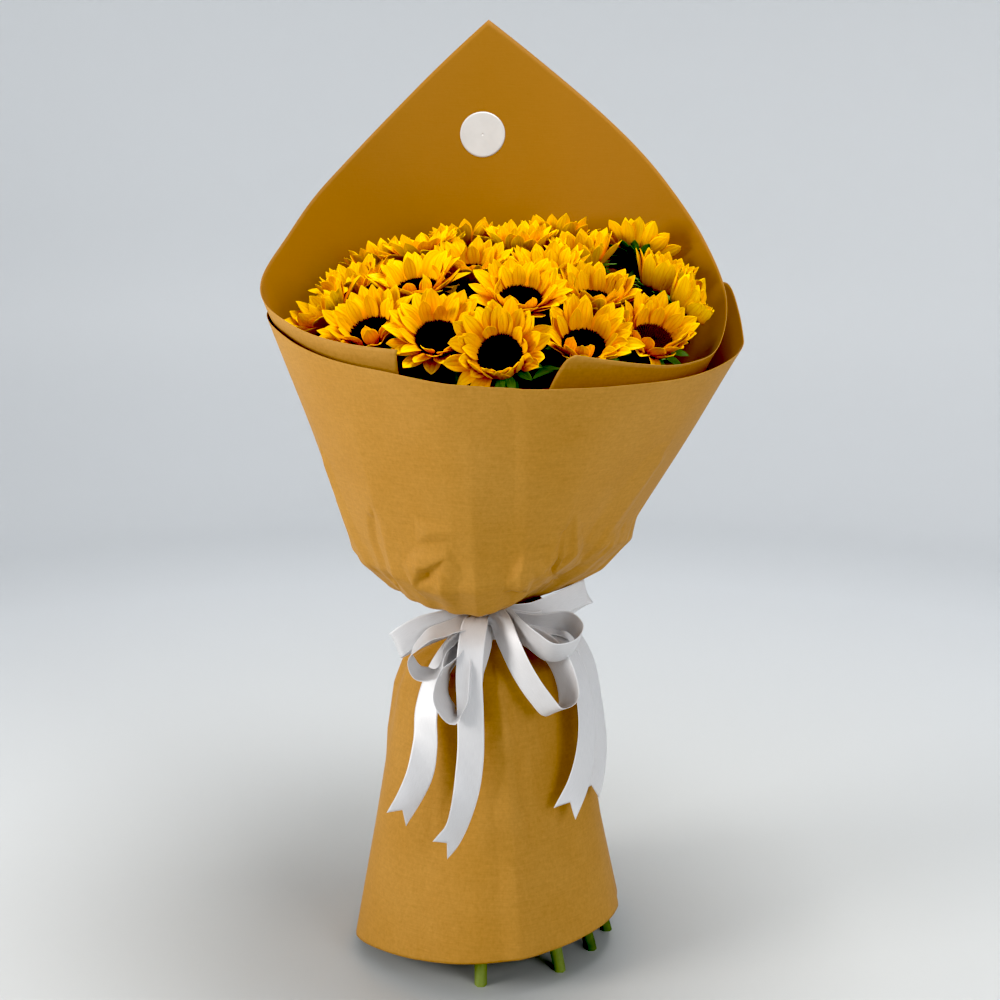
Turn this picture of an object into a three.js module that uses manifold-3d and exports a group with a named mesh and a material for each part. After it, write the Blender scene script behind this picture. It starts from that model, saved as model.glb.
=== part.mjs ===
// A tied bunch of sunflowers wrapped in brown kraft paper, standing on its cut stems.
//
// Millimetres, +Z up. The bunch is drawn about the upright axis of its tie: the front
// faces -Y and the floor is Z = 0. Angles round that axis are in degrees, 0 at the
// front, 90 at the right (+X), 180 at the back and 270 or -90 at the left.

import * as THREE from "three";
import { mergeVertices } from "three/addons/utils/BufferGeometryUtils.js";
import Module from "manifold-3d";

const wasm = await Module();
wasm.setup();

// ---------------------------------------------------------------- driving dimensions

const PAPER = 1.0; // thickness of a paper sheet's solid
const RIBBON = { width: 25, pinched: 8, thickness: 1.0 };
const KNOT = { middle: [-1, -51.4, 331], radii: [13, 9, 11.5] };
const CLEAR = 0.35; // gap between pieces that touch
const SHORTEST_EDGE = 0.1; // slivers below this are closed up where pieces are joined
const LABEL = { diameter: 50, thickness: 0.8, standOff: 1.65, angle: 181.6, height: 810 };

// The tie: ribbon round the papers, papers round the stems.
const TIE = { low: 316, high: 341 };
const WAIST = { back: 35.4, cup: 36.9, skirt: 39.2, band: 40.9 };

// A stem, its four places at the tie in each sixth of the bunch, and a flower.
const STEM = { radius: 5.8, neck: 4.4, sides: 6, nod: 42 }; // nod: length that faces as the head
const STEM_STATIONS = [0, 0.2, 0.4, 0.55, 0.7, 0.8, 0.9, 1]; // shares of its way
const UPRIGHT_TO = 0.4; // up to this share its sections are level
const SIXTHS = 6;
const TIE_PLACES = [
  { out: 12.2, side: 0 },
  { out: 20.4, side: -4.9 },
  { out: 20.4, side: 4.9 },
  { out: 28.6, side: 0 },
];
const DISC = { radius: 18.6, rim: 3.0, crown: 4.8, sides: 12 };
const PETAL = { count: 14, root: 20, base: 1.2, length: 30, width: 12.5, rib: 1.5 };
const PETAL_LIFT = { flat: 20, upright: 58, inner: 16, tip: -10, highest: 76 }; // degrees
const SEPAL = { count: 6, root: 20.4, base: 1.4, length: 19, width: 13, rib: 1.3 };
const SEPAL_LIFT = { flat: -6, upright: 12, tip: -6, highest: 12 };
const CALYX_DEPTH = 15;
const LEAF = { length: 52, width: 30, rib: 1.6 };
const LEAF_BENDS = [0, -20, -50]; // degrees from its rise, along its three stretches
const HEAD_ROOM = { petal: 1.4, leaf: 2, paper: 3 }; // kept to the next bloom and the paper

// The back sheet's upper edge from its right front corner round the back to its left
// front corner: angle, radius, height. Its corner stands up as the point at the back.
const BACK_EDGE_RIGHT = [
  [21.5, 204, 607],
  [40, 209, 596],
  [59, 213, 593],
  [75, 222, 603],
  [90, 231, 641],
  [108, 229, 697],
  [121, 231, 737],
  [151, 247, 835],
  [180, 260, 936],
];
const BACK_EDGE_LEFT = [
  [180, 260, 936],
  [225, 239, 759],
  [246, 222, 702],
  [270, 217, 656],
  [304, 199, 623],
  [325, 200, 613],
  [339, 203, 611],
];
// The front cup's upper edge, from the left round the front to the right.
const CUP_EDGE = [
  [-132, 214, 636],
  [-105, 212, 638],
  [-84, 209, 628],
  [-56, 200, 608],
  [-35, 203, 596],
  [-20, 207, 591],
  [-5, 210, 585],
  [9, 215, 581.5],
  [25, 224, 581.5],
  [52, 229, 584],
  [85.3, 246, 602.5],
];
const CUP_FLAP = [
  [85.3, 246, 602.5],
  [95, 247, 630],
  [104, 248, 654],
  [114, 246, 648],
];
// The skirt's top edge and its hem: angle, radius, height.
const SKIRT_TOP = [
  [-190, 52, 346],
  [-120, 54, 346.4],
  [-78, 68, 349],
  [-40, 50, 345.6],
  [0, 42.5, 345],
  [38, 52, 346],
  [58, 60, 347.6],
  [90, 54, 346.4],
  [190, 52, 346],
];
const SKIRT_HEM = [
  [-190, 133, 30],
  [-135, 134, 17],
  [-90, 136, 7],
  [-45, 134, 24],
  [0, 133, 34],
  [45, 133, 40],
  [90, 134, 37],
  [135, 133, 36],
  [190, 133, 30],
];
// The back sheet is fullest round the heads, at this height, and by this much at the back.
const BELLY = { height: 640, bulge: 24 };
// Profiles below the upper edges: radius, height.
const BACK_NECK = [
  [72, 228],
  [53, 288],
  [WAIST.back, 314],
  [WAIST.back, 347],
  [58, 361],
  [98, 378],
  [124, 405],
  [131, 430],
];
const CUP_NECK = [
  [WAIST.cup, 319],
  [WAIST.cup, 345],
  [50, 349.5],
  [67, 353],
  [106, 367],
  [134, 396],
  [142, 424],
];
// Below its belly the paper was pressed by hand: folded flat between a few corners, pushed
// up on the right and in on the left. Rows of angle and millimetres, and then how much of
// it each point of a neck takes.
const NECK_CORNERS = [-180, -156, -132, -98, -68, -40, -4, 28, 60, 88, 114, 147, 180];
const NECK_LIFT = [
  [-132, 0],
  [-98, -4],
  [-84, -6],
  [-68, -1],
  [-40, -1],
  [-22, -3],
  [-4, -6],
  [14, 1],
  [28, 21],
  [45, 28],
  [60, 18],
  [74, 16],
  [88, 11],
  [100, 3],
  [114, 0],
];
const NECK_OUT = [
  [-132, 0],
  [-98, 1],
  [-84, -7],
  [-68, -6],
  [-55, -5],
  [-40, 0],
  [60, 0],
  [74, 9],
  [100, 9],
  [114, 0],
];
const BACK_PRESSED = [0, 0, 0, 0, 0.3, 1, 1, 0.6];
const CUP_PRESSED = [0, 0, 0.2, 0.4, 1, 1, 0.6];
const SKIRT_BODY = [
  [WAIST.skirt, 343.2],
  [WAIST.skirt, 315],
  [54, 307],
  [80, 292],
  [92, 262],
  [103, 200],
  [116, 120],
];

// Each bloom: its place x, y, z at the middle of the disc, how far it leans from
// upright and towards which angle, how far its petals stand up (0 flat, 1 upright), and
// its stem's foot as angle and radius. Four blooms to a sixth of the bunch, in the order
// of their places at the tie: inner, left, right, outer.
const BLOOMS = [
  { at: [-15, 36, 664], lean: 20, towards: -6, cup: 0.55, foot: [-150, 30] },
  { at: [-22, 164, 684], lean: 14, towards: -170, cup: 0.6, foot: [-172, 78] },
  { at: [-64, 92, 680], lean: 12, towards: -80, cup: 0.6, foot: [-128, 78] },
  { at: [-50, 147, 614], lean: 34, towards: -150, cup: 0.65, foot: [-150, 112] },

  { at: [-66, -18, 652], lean: 24, towards: -20, cup: 0.5, foot: [-90, 30] },
  { at: [-110, 142, 660], lean: 24, towards: -140, cup: 0.6, foot: [-112, 78] },
  { at: [-152, -8, 623], lean: 46, towards: -70, cup: 0.5, foot: [-68, 78] },
  { at: [-130, 64, 645], lean: 24, towards: -60, cup: 0.55, foot: [-90, 112] },

  { at: [31, -73, 645], lean: 32, towards: 4, cup: 0.45, foot: [-30, 26] },
  { at: [-105, -73, 615], lean: 38, towards: -22, cup: 0.45, foot: [-60, 80] },
  { at: [13, -160, 602], lean: 68, towards: -3, cup: 0.42, foot: [-3, 110] },
  { at: [-43, -116, 614], lean: 43, towards: -6, cup: 0.4, foot: [-34, 70] },

  { at: [99, -42, 641], lean: 25, towards: 8, cup: 0.6, foot: [30, 26] },
  { at: [86, -120, 607], lean: 40, towards: 5, cup: 0.5, foot: [12, 60] },
  { at: [190, -22, 632], lean: 36, towards: 80, cup: 0.6, foot: [50, 64] },
  { at: [151, -77, 608], lean: 44, towards: 22, cup: 0.4, foot: [40, 109] },

  { at: [59, 16, 662], lean: 14, towards: 0, cup: 0.6, foot: [90, 26] },
  { at: [171, 46, 650], lean: 22, towards: 70, cup: 0.7, foot: [68, 111] },
  { at: [95, 78, 673], lean: 16, towards: -20, cup: 0.6, foot: [112, 76] },
  { at: [152, 100, 676], lean: 44, towards: 155, cup: 0.5, foot: [89, 121] },

  { at: [33, 112, 684], lean: 8, towards: 0, cup: 0.65, foot: [150, 26] },
  { at: [105, 130, 627], lean: 26, towards: 140, cup: 0.65, foot: [128, 78] },
  { at: [24, 164, 624], lean: 26, towards: 180, cup: 0.65, foot: [172, 78] },
  { at: [74, 166, 688], lean: 18, towards: 165, cup: 0.6, foot: [150, 112] },
];

// Leaves under the heads: the bloom's number, how far up the stem, the angle that the
// leaf points to and its rise from level.
const LEAVES = [
  { bloom: 2, share: 0.82, towards: 180, rise: 30 },
  { bloom: 6, share: 0.82, towards: -150, rise: 25 },
  { bloom: 7, share: 0.84, towards: -125, rise: 40 },
  { bloom: 8, share: 0.82, towards: -80, rise: 30 },
  { bloom: 10, share: 0.84, towards: -70, rise: 15 },
  { bloom: 11, share: 0.8, towards: 75, rise: 30 },
  { bloom: 12, share: 0.86, towards: -30, rise: 5 },
  { bloom: 14, share: 0.82, towards: -60, rise: 25 },
  { bloom: 15, share: 0.82, towards: 110, rise: 25 },
  { bloom: 16, share: 0.86, towards: 85, rise: 15 },
  { bloom: 20, share: 0.82, towards: 50, rise: 45 },
  { bloom: 24, share: 0.82, towards: 165, rise: 30 },
];

// The bow. A loop's ribbon keeps one direction across; a tail lies flat against the
// skirt. All of them start in the knot, and the loops come back to it.
const LOOPS = [
  {
    across: [-0.35, 0, 0.94],
    points: [
      [-37, -66, 341],
      [-65, -73, 335],
      [-85, -72, 321],
      [-82, -57, 317],
      [-55, -47, 327],
    ],
  },
  {
    across: [0.15, 1, 0.25],
    points: [
      [-29, -78, 337],
      [-55, -92, 334],
      [-70, -98, 318],
      [-64, -100, 303],
      [-47, -96, 303],
      [-37, -84, 320],
      [-22, -63, 334],
    ],
  },
  {
    across: [0.5, 0.85, 0.15],
    points: [
      [-18, -84, 321],
      [-38, -99, 302],
      [-42, -106, 280],
      [-28, -107, 263],
      [-14, -104, 276],
      [-9, -97, 305],
      [-4, -74, 328],
    ],
  },
  {
    across: [0.5, -0.65, 0.5],
    points: [
      [18, -84, 326],
      [33, -100, 305],
      [49, -108, 282],
      [62, -108, 268],
      [76, -98, 274],
      [72, -86, 300],
      [56, -72, 320],
      [28, -62, 332],
    ],
  },
  {
    across: [0.23, -0.48, 0.85],
    points: [
      [26, -78, 336],
      [40, -92, 331],
      [60, -97, 321],
      [80, -88, 322],
      [88, -72, 331],
      [77, -58, 339],
      [45, -54, 336],
    ],
  },
  {
    across: [-0.3, -0.2, 0.93],
    points: [
      [40, -50, 339],
      [68, -32, 340],
      [90, -14, 342],
      [98, -2, 341],
      [90, 6, 336],
      [72, -14, 331],
      [50, -46, 330],
    ],
  },
];
const TAILS = [
  [
    [-6, -72, 326],
    [-14, -92, 309],
    [-15, -105, 270],
    [-15, -113, 225],
    [-21, -121, 185],
    [-30, -131, 160],
    [-42, -141, 148],
  ],
  [
    [-24, -66, 319],
    [-45, -80, 298],
    [-56, -94, 266],
    [-57, -102, 235],
    [-62, -107, 208],
    [-71, -113, 188],
    [-83, -123, 170],
  ],
  [
    [40, -60, 331],
    [70, -60, 322],
    [85, -66, 298],
    [93, -74, 262],
    [94, -81, 225],
    [87, -89, 192],
    [73, -101, 166],
  ],
  [
    [48, -52, 334],
    [80, -44, 324],
    [97, -44, 298],
    [106, -48, 255],
    [108, -53, 215],
    [103, -58, 185],
    [98, -62, 168],
  ],
];

const COLOUR = {
  paper: 0xb5843c,
  ribbon: 0xe9e6ea,
  label: 0xf4f2ee,
  petals: 0xf5a80c,
  disc: 0x1f140c,
  green: 0x4c6b2a,
};

// ---------------------------------------------------------------- small helpers

const RAD = Math.PI / 180;
const UP = new THREE.Vector3(0, 0, 1);
const v = (x, y, z) => new THREE.Vector3(x, y, z);
const lerp = THREE.MathUtils.lerp;
const clamp = THREE.MathUtils.clamp;

/** A point at an angle round the tie's axis. */
const round = (angle, radius, z) =>
  v(radius * Math.sin(angle * RAD), -radius * Math.cos(angle * RAD), z);

/** The angle round the tie's axis at which a point stands. */
const angleOf = (p) => Math.atan2(p.x, -p.y) / RAD;

/** A seeded draw between low and high. */
function drawsFrom(seed) {
  let state = seed;
  return (low, high) => {
    state = (Math.imul(state, 1664525) + 1013904223) >>> 0;
    return low + ((high - low) * state) / 2 ** 32;
  };
}

/** A smooth curve of [radius, height] through rows of [angle, radius, height]. */
function edgeCurve(rows) {
  const curve = new THREE.CubicInterpolant(
    rows.map((row) => row[0]),
    rows.flatMap((row) => row.slice(1)),
    2,
  );
  return (angle) => Array.from(curve.evaluate(angle));
}

/** A geometry from points and triangles, turned so that its faces point out. */
function geometryFrom(points, triangles) {
  let volume = 0;
  for (const [a, b, c] of triangles)
    volume += points[a].dot(v(0, 0, 0).crossVectors(points[b], points[c]));
  const faces = volume < 0 ? triangles.map(([a, b, c]) => [a, c, b]) : triangles;
  const geometry = new THREE.BufferGeometry();
  geometry.setAttribute(
    "position",
    new THREE.Float32BufferAttribute(points.flatMap((p) => p.toArray()), 3),
  );
  geometry.setIndex(faces.flat());
  return geometry;
}

/** A closed geometry as a solid that can be joined and cut. */
function solidOf(geometry) {
  return new wasm.Manifold(
    new wasm.Mesh({
      numProp: 3,
      vertProperties: new Float32Array(geometry.getAttribute("position").array),
      triVerts: new Uint32Array(geometry.index.array),
    }),
  );
}

/** Several closed geometries joined into one; a sealed gap between them is filled. */
function fused(geometries) {
  const joined = geometries.map(solidOf).reduce((all, next) => all.add(next));
  const solid = joined.asOriginal().simplify(SHORTEST_EDGE);
  const bodies = solid.decompose().sort((a, b) => b.volume() - a.volume());
  const mesh = bodies[0].getMesh();
  const geometry = new THREE.BufferGeometry();
  geometry.setAttribute(
    "position",
    new THREE.BufferAttribute(new Float32Array(mesh.vertProperties), 3),
  );
  geometry.setIndex(new THREE.BufferAttribute(new Uint32Array(mesh.triVerts), 1));
  return geometry;
}

const bunch = new THREE.Group();

/** Adds one named piece to the bunch. */
function place(name, geometry, colour, roughness) {
  const material = new THREE.MeshStandardMaterial({ color: colour, roughness });
  const mesh = new THREE.Mesh(geometry, material);
  mesh.name = name;
  bunch.add(mesh);
}

// ---------------------------------------------------------------- paper sheets

/** A thin solid from a grid of points: both faces are split into the same triangles. */
function sheet(grid, thickness) {
  const rows = grid.length;
  const columns = grid[0].length;
  const normal = (i, j) => {
    const along = grid[i][Math.min(j + 1, columns - 1)].clone();
    along.sub(grid[i][Math.max(j - 1, 0)]);
    const across = grid[Math.min(i + 1, rows - 1)][j].clone();
    across.sub(grid[Math.max(i - 1, 0)][j]);
    return along.cross(across).normalize();
  };
  const points = [];
  for (const side of [0.5, -0.5])
    for (let i = 0; i < rows; i++)
      for (let j = 0; j < columns; j++)
        points.push(grid[i][j].clone().addScaledVector(normal(i, j), side * thickness));
  const front = (i, j) => i * columns + j;
  const back = (i, j) => rows * columns + front(i, j);
  const triangles = [];
  for (let i = 0; i + 1 < rows; i++)
    for (let j = 0; j + 1 < columns; j++) {
      triangles.push([front(i, j), front(i, j + 1), front(i + 1, j + 1)]);
      triangles.push([front(i, j), front(i + 1, j + 1), front(i + 1, j)]);
      triangles.push([back(i, j), back(i + 1, j + 1), back(i, j + 1)]);
      triangles.push([back(i, j), back(i + 1, j), back(i + 1, j + 1)]);
    }
  const wall = (a, b) => {
    triangles.push([front(...a), back(...b), front(...b)]);
    triangles.push([front(...a), back(...a), back(...b)]);
  };
  for (let j = 0; j + 1 < columns; j++) {
    wall([0, j], [0, j + 1]);
    wall([rows - 1, j + 1], [rows - 1, j]);
  }
  for (let i = 0; i + 1 < rows; i++) {
    wall([i + 1, 0], [i, 0]);
    wall([i, columns - 1], [i + 1, columns - 1]);
  }
  return geometryFrom(points, triangles);
}

/** Evenly spread angles from one to another, both ends included. */
const spread = (from, to, steps) =>
  Array.from({ length: steps + 1 }, (_, k) => lerp(from, to, k / steps));

const backRight = edgeCurve(BACK_EDGE_RIGHT);
const backLeft = edgeCurve(BACK_EDGE_LEFT);
const backEdge = (angle) => (angle < 180 ? backRight(angle) : backLeft(angle));
const BACK_ANGLES = [...spread(21.5, 180, 17), ...spread(180, 339, 17).slice(1)];

/** The value at an angle in rows of [angle, value], straight between them. */
function between(rows, angle) {
  const above = rows.findIndex(([at]) => angle <= at);
  if (above === 0) return rows[0][1];
  if (above < 0) return rows[rows.length - 1][1];
  const [[from, low], [to, high]] = rows.slice(above - 1, above + 1);
  return lerp(low, high, (angle - from) / (to - from));
}

/** A neck's rows of [radius, height], as the paper was pressed at one angle. */
function pressed(neck, shares, angle) {
  const turn = ((angle + 540) % 360) - 180;
  const passed = NECK_CORNERS.filter((corner) => corner < turn).length;
  const first = clamp(passed - 1, 0, NECK_CORNERS.length - 2);
  const half = (NECK_CORNERS[first + 1] - NECK_CORNERS[first]) / 2;
  const fromMiddle = turn - NECK_CORNERS[first] - half;
  const flat = 1 - Math.cos(half * RAD) / Math.cos(fromMiddle * RAD);
  const out = between(NECK_OUT, turn);
  const lift = between(NECK_LIFT, turn);
  return neck.map(([radius, height], i) => [
    radius + (out - radius * flat) * shares[i],
    height + lift * shares[i],
  ]);
}

/** The back sheet above its bend along one angle: bend, belly round the heads, edge. */
function backFlare(angle) {
  const [edgeRadius, edgeHeight] = backEdge(angle);
  const [bendRadius, bendHeight] = pressed(BACK_NECK, BACK_PRESSED, angle).pop();
  const height = Math.min(BELLY.height, lerp(bendHeight, edgeHeight, 0.7));
  const share = (height - bendHeight) / (edgeHeight - bendHeight);
  const bulge = BELLY.bulge * clamp((edgeHeight - 656) / 280, 0, 1);
  const radius = lerp(bendRadius, edgeRadius, share) + bulge;
  return [
    [bendRadius, bendHeight],
    [radius, height],
    [edgeRadius, edgeHeight],
  ];
}

/** The back sheet's radius at an angle and a height above the bend. */
function backRadius(angle, height) {
  const turned = clamp((angle + 360) % 360, 21.5, 339);
  const [bend, belly, edge] = backFlare(turned);
  const [low, high] = height < belly[1] ? [bend, belly] : [belly, edge];
  return lerp(low[0], high[0], (height - low[1]) / (high[1] - low[1]));
}

function backSheet() {
  const slant = 19; // degrees by which the right flap's cut edge runs forward at its foot
  const columns = BACK_ANGLES.map((angle) => {
    const [bend, belly, edge] = backFlare(angle);
    const halfway = [0, 1].map((axis) => lerp(bend[axis], belly[axis], 0.5));
    const profile = [...pressed(BACK_NECK, BACK_PRESSED, angle), halfway, belly, edge];
    return profile.map(([radius, height], i) => {
      const low = 1 - i / (profile.length - 1);
      const nearRight = clamp((90 - angle) / 68.5, 0, 1);
      return round(angle - slant * Math.sqrt(low) * nearRight, radius, height);
    });
  });
  const rows = columns[0].map((_, i) => columns.map((column) => column[i]));
  return sheet(rows, PAPER);
}

function cupSheet() {
  const edge = edgeCurve(CUP_EDGE);
  const flap = edgeCurve(CUP_FLAP);
  const angles = [...spread(-132, 85.3, 23), ...spread(85.3, 114, 3).slice(1)];
  const columns = angles.map((angle) => {
    const neck = pressed(CUP_NECK, CUP_PRESSED, angle);
    const [bendRadius, bendHeight] = neck[neck.length - 1];
    const [edgeRadius, edgeHeight] = angle <= 85.3 ? edge(angle) : flap(angle);
    const flare = [0.5, 1].map((share) => [
      lerp(bendRadius, edgeRadius, share),
      lerp(bendHeight, edgeHeight, share),
    ]);
    return [...neck, ...flare].map(([radius, height]) => round(angle, radius, height));
  });
  const rows = columns[0].map((_, i) => columns.map((column) => column[i]));
  return sheet(rows, PAPER);
}

/** The skirt winds once round and laps over itself at the back. */
function skirtSheet() {
  const top = edgeCurve(SKIRT_TOP);
  const hem = edgeCurve(SKIRT_HEM);
  const lap = 0.8;
  const columns = spread(-190, 190, 32).map((angle) => {
    const [hemRadius, hemHeight] = hem(angle);
    const profile = [top(angle), ...SKIRT_BODY, [hemRadius, hemHeight]];
    return profile.map(([radius, height]) =>
      round(angle, radius + (lap * angle) / 180, height),
    );
  });
  const rows = columns[0].map((_, i) => columns.map((column) => column[i]));
  return sheet(rows, PAPER);
}

/** The round label follows the inside of the back sheet's point. */
function labelDisc() {
  const middle = round(LABEL.angle, 0, LABEL.height);
  const spokes = 16;
  const rings = [0, 0.5, 1];
  const surface = (side, up) => {
    const height = middle.z + up;
    const radius = backRadius(LABEL.angle, height);
    const angle = LABEL.angle + side / radius / RAD;
    const inward = (PAPER + LABEL.thickness) / 2 + CLEAR + LABEL.standOff;
    return round(angle, backRadius(angle, height) - inward, height);
  };
  const half = LABEL.diameter / 2;
  const inwardOf = round(LABEL.angle, -1, 0);
  const points = [];
  for (const layer of [0.5, -0.5])
    for (const ring of rings.slice(1))
      for (let k = 0; k < spokes; k++) {
        const turn = (2 * Math.PI * k) / spokes;
        const p = surface(half * ring * Math.cos(turn), half * ring * Math.sin(turn));
        points.push(p.addScaledVector(inwardOf, layer * LABEL.thickness));
      }
  const triangles = [];
  const at = (layer, ring, k) => (layer * 2 + ring) * spokes + (k % spokes);
  const centres = [0.5, -0.5].map((layer) => {
    points.push(surface(0, 0).addScaledVector(inwardOf, layer * LABEL.thickness));
    return points.length - 1;
  });
  for (let k = 0; k < spokes; k++)
    for (const layer of [0, 1]) {
      const turn = (a, b, c) => triangles.push(layer ? [a, c, b] : [a, b, c]);
      turn(centres[layer], at(layer, 0, k), at(layer, 0, k + 1));
      turn(at(layer, 0, k), at(layer, 1, k), at(layer, 1, k + 1));
      turn(at(layer, 0, k), at(layer, 1, k + 1), at(layer, 0, k + 1));
    }
  for (let k = 0; k < spokes; k++) {
    triangles.push([at(0, 1, k), at(1, 1, k), at(1, 1, k + 1)]);
    triangles.push([at(0, 1, k), at(1, 1, k + 1), at(0, 1, k + 1)]);
  }
  return geometryFrom(points, triangles);
}

// ---------------------------------------------------------------- ribbon

function ribbonBand() {
  const inner = WAIST.band;
  const outer = inner + 1.2;
  const section = [
    [inner, TIE.low],
    [outer, TIE.low],
    [outer, TIE.high],
    [inner, TIE.high],
    [inner, TIE.low],
  ].map(([radius, height]) => new THREE.Vector2(radius, height));
  const ring = new THREE.LatheGeometry(section, 32).rotateX(Math.PI / 2);
  ring.deleteAttribute("normal");
  ring.deleteAttribute("uv");
  return mergeVertices(ring, 1e-3);
}

/** A flat strip through points; it is pinched where it starts and, on a loop, ends. */
function strip(points, across, isLoop) {
  const curve = new THREE.CatmullRomCurve3(points);
  const stations = spread(0, 1, isLoop ? points.length : points.length - 1);
  const corners = [];
  for (const share of stations) {
    const centre = curve.getPoint(share);
    const tangent = curve.getTangent(share);
    const outward = v(centre.x, centre.y, 0).normalize();
    const wide = across ? across.clone() : tangent.clone().cross(outward);
    wide.addScaledVector(tangent, -wide.dot(tangent)).normalize();
    const thick = tangent.clone().cross(wide);
    const fromKnot = isLoop ? Math.min(share, 1 - share) : share;
    const open = clamp(fromKnot / 0.24, 0, 1);
    const width = lerp(RIBBON.pinched, RIBBON.width, open);
    for (const [a, b] of [
      [-1, -1],
      [1, -1],
      [1, 1],
      [-1, 1],
    ])
      corners.push(
        centre
          .clone()
          .addScaledVector(wide, (a * width) / 2)
          .addScaledVector(thick, (b * RIBBON.thickness) / 2),
      );
  }
  const triangles = [
    [0, 2, 1],
    [0, 3, 2],
  ];
  const last = corners.length - 4;
  triangles.push([last, last + 1, last + 2], [last, last + 2, last + 3]);
  for (let i = 0; i < last; i += 4)
    for (let k = 0; k < 4; k++) {
      const next = (k + 1) % 4;
      triangles.push([i + k, i + next, i + next + 4]);
      triangles.push([i + k, i + next + 4, i + k + 4]);
    }
  return geometryFrom(corners, triangles);
}

function ribbonBow() {
  const middle = v(...KNOT.middle);
  const knot = new THREE.SphereGeometry(1, 8, 6);
  knot.deleteAttribute("normal");
  knot.deleteAttribute("uv");
  knot.scale(...KNOT.radii).translate(...KNOT.middle);
  const pieces = [mergeVertices(knot, 1e-3)];
  const inKnot = (towards) => {
    const step = v(...towards).sub(middle).setLength(6.5);
    return middle.clone().add(step);
  };
  for (const { across, points } of LOOPS) {
    const route = [inKnot(points[0]), ...points.map((p) => v(...p)), inKnot(points.at(-1))];
    pieces.push(strip(route, v(...across), true));
  }
  for (const points of TAILS)
    pieces.push(strip([inKnot(points[0]), ...points.map((p) => v(...p))], null, false));
  return fused(pieces);
}

// ---------------------------------------------------------------- flowers

/** A flower's own frame: its disc's middle is the origin and it faces its own +Z. */
function flowerFrame(bloom, spin) {
  const facing = round(bloom.towards, Math.sin(bloom.lean * RAD), 0);
  facing.z = Math.cos(bloom.lean * RAD);
  const turn = new THREE.Quaternion().setFromUnitVectors(UP, facing.normalize());
  turn.multiply(new THREE.Quaternion().setFromAxisAngle(UP, spin));
  const matrix = new THREE.Matrix4().compose(v(...bloom.at), turn, v(1, 1, 1));
  return { facing, matrix };
}

/** True where a point keeps to its own bloom's share of the space inside the paper. */
function isClear(p, bloom, margin) {
  const own = v(...bloom.at);
  for (const other of BLOOMS) {
    if (other === bloom) continue;
    const away = v(...other.at).sub(own);
    const distance = away.length();
    away.divideScalar(distance);
    if (p.clone().sub(own).dot(away) > distance / 2 - margin) return false;
  }
  return Math.hypot(p.x, p.y) < backRadius(angleOf(p), p.z) - HEAD_ROOM.paper;
}

/**
 * A ring of rays, petals or sepals, on a thin plate: each ray is a blade with a raised
 * rib and a sharp outline. ray(k) gives its length, width and the lift of its two halves.
 */
function rayRing({ count, root, base, depth, top, rib, ray }) {
  const points = [v(0, 0, top), v(0, 0, top - depth)];
  const triangles = [];
  const add = (p) => points.push(p) - 1;
  const rim = Array.from({ length: count }, (_, k) => {
    const turn = (2 * Math.PI * k) / count;
    const x = root * Math.cos(turn);
    const y = root * Math.sin(turn);
    return { over: add(v(x, y, top)), under: add(v(x, y, top - base)) };
  });
  for (let k = 0; k < count; k++) {
    const { length, width, lifts } = ray(k);
    const { ribRoot, left, right, ribMiddle, tip } = rayPoints(
      { count, root, top, base, rib, k },
      length,
      width,
      lifts,
    );
    const [t0, l, r, t1, end] = [ribRoot, left, right, ribMiddle, tip].map(add);
    const a = rim[k];
    const b = rim[(k + 1) % count];
    triangles.push(
      [a.over, l, t1],
      [a.over, t1, t0],
      [t0, t1, r],
      [t0, r, b.over],
      [l, end, t1],
      [t1, end, r],
      [a.under, r, l],
      [a.under, b.under, r],
      [l, r, end],
      [a.over, a.under, l],
      [b.over, r, b.under],
      [0, a.over, t0],
      [0, t0, b.over],
      [1, b.under, a.under],
    );
  }
  return geometryFrom(points, triangles);
}

/** The five points of one ray, in the flower's frame. */
function rayPoints({ count, root, top, base, rib, k }, length, width, lifts) {
  const turn = (2 * Math.PI * (k + 0.5)) / count;
  const out = v(Math.cos(turn), Math.sin(turn), 0);
  const side = v(-Math.sin(turn), Math.cos(turn), 0);
  const go = (from, lift, far) =>
    from
      .clone()
      .addScaledVector(out, far * Math.cos(lift * RAD))
      .addScaledVector(UP, far * Math.sin(lift * RAD));
  const start = out.clone().multiplyScalar(root).setZ(top - base / 2);
  const middle = go(start, lifts[0], length * 0.52);
  const tip = go(middle, lifts[1], length * 0.48);
  const above = go(v(0, 0, 0), (lifts[0] + lifts[1]) / 2 + 90, 1);
  return {
    ribRoot: out.clone().multiplyScalar(root - 0.4).setZ(top + 0.25),
    left: middle.clone().addScaledVector(side, -width / 2),
    right: middle.clone().addScaledVector(side, width / 2),
    ribMiddle: middle.clone().addScaledVector(above, rib),
    tip,
  };
}

/** The ray k's lifts and length, raised to a limit and then shortened until it is clear. */
function clearRay(bloom, frame, shape, k, wanted, highest) {
  let { length, width, lifts } = wanted;
  const isFree = () => {
    const points = rayPoints({ ...shape, k }, length, width, lifts);
    return Object.values(points)
      .slice(1)
      .every((p) => isClear(p.clone().applyMatrix4(frame.matrix), bloom, HEAD_ROOM.petal));
  };
  while (!isFree() && lifts[0] < highest) lifts = lifts.map((lift) => lift + 4);
  while (!isFree() && length > 7) length *= 0.92;
  return { length, width, lifts };
}

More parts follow.
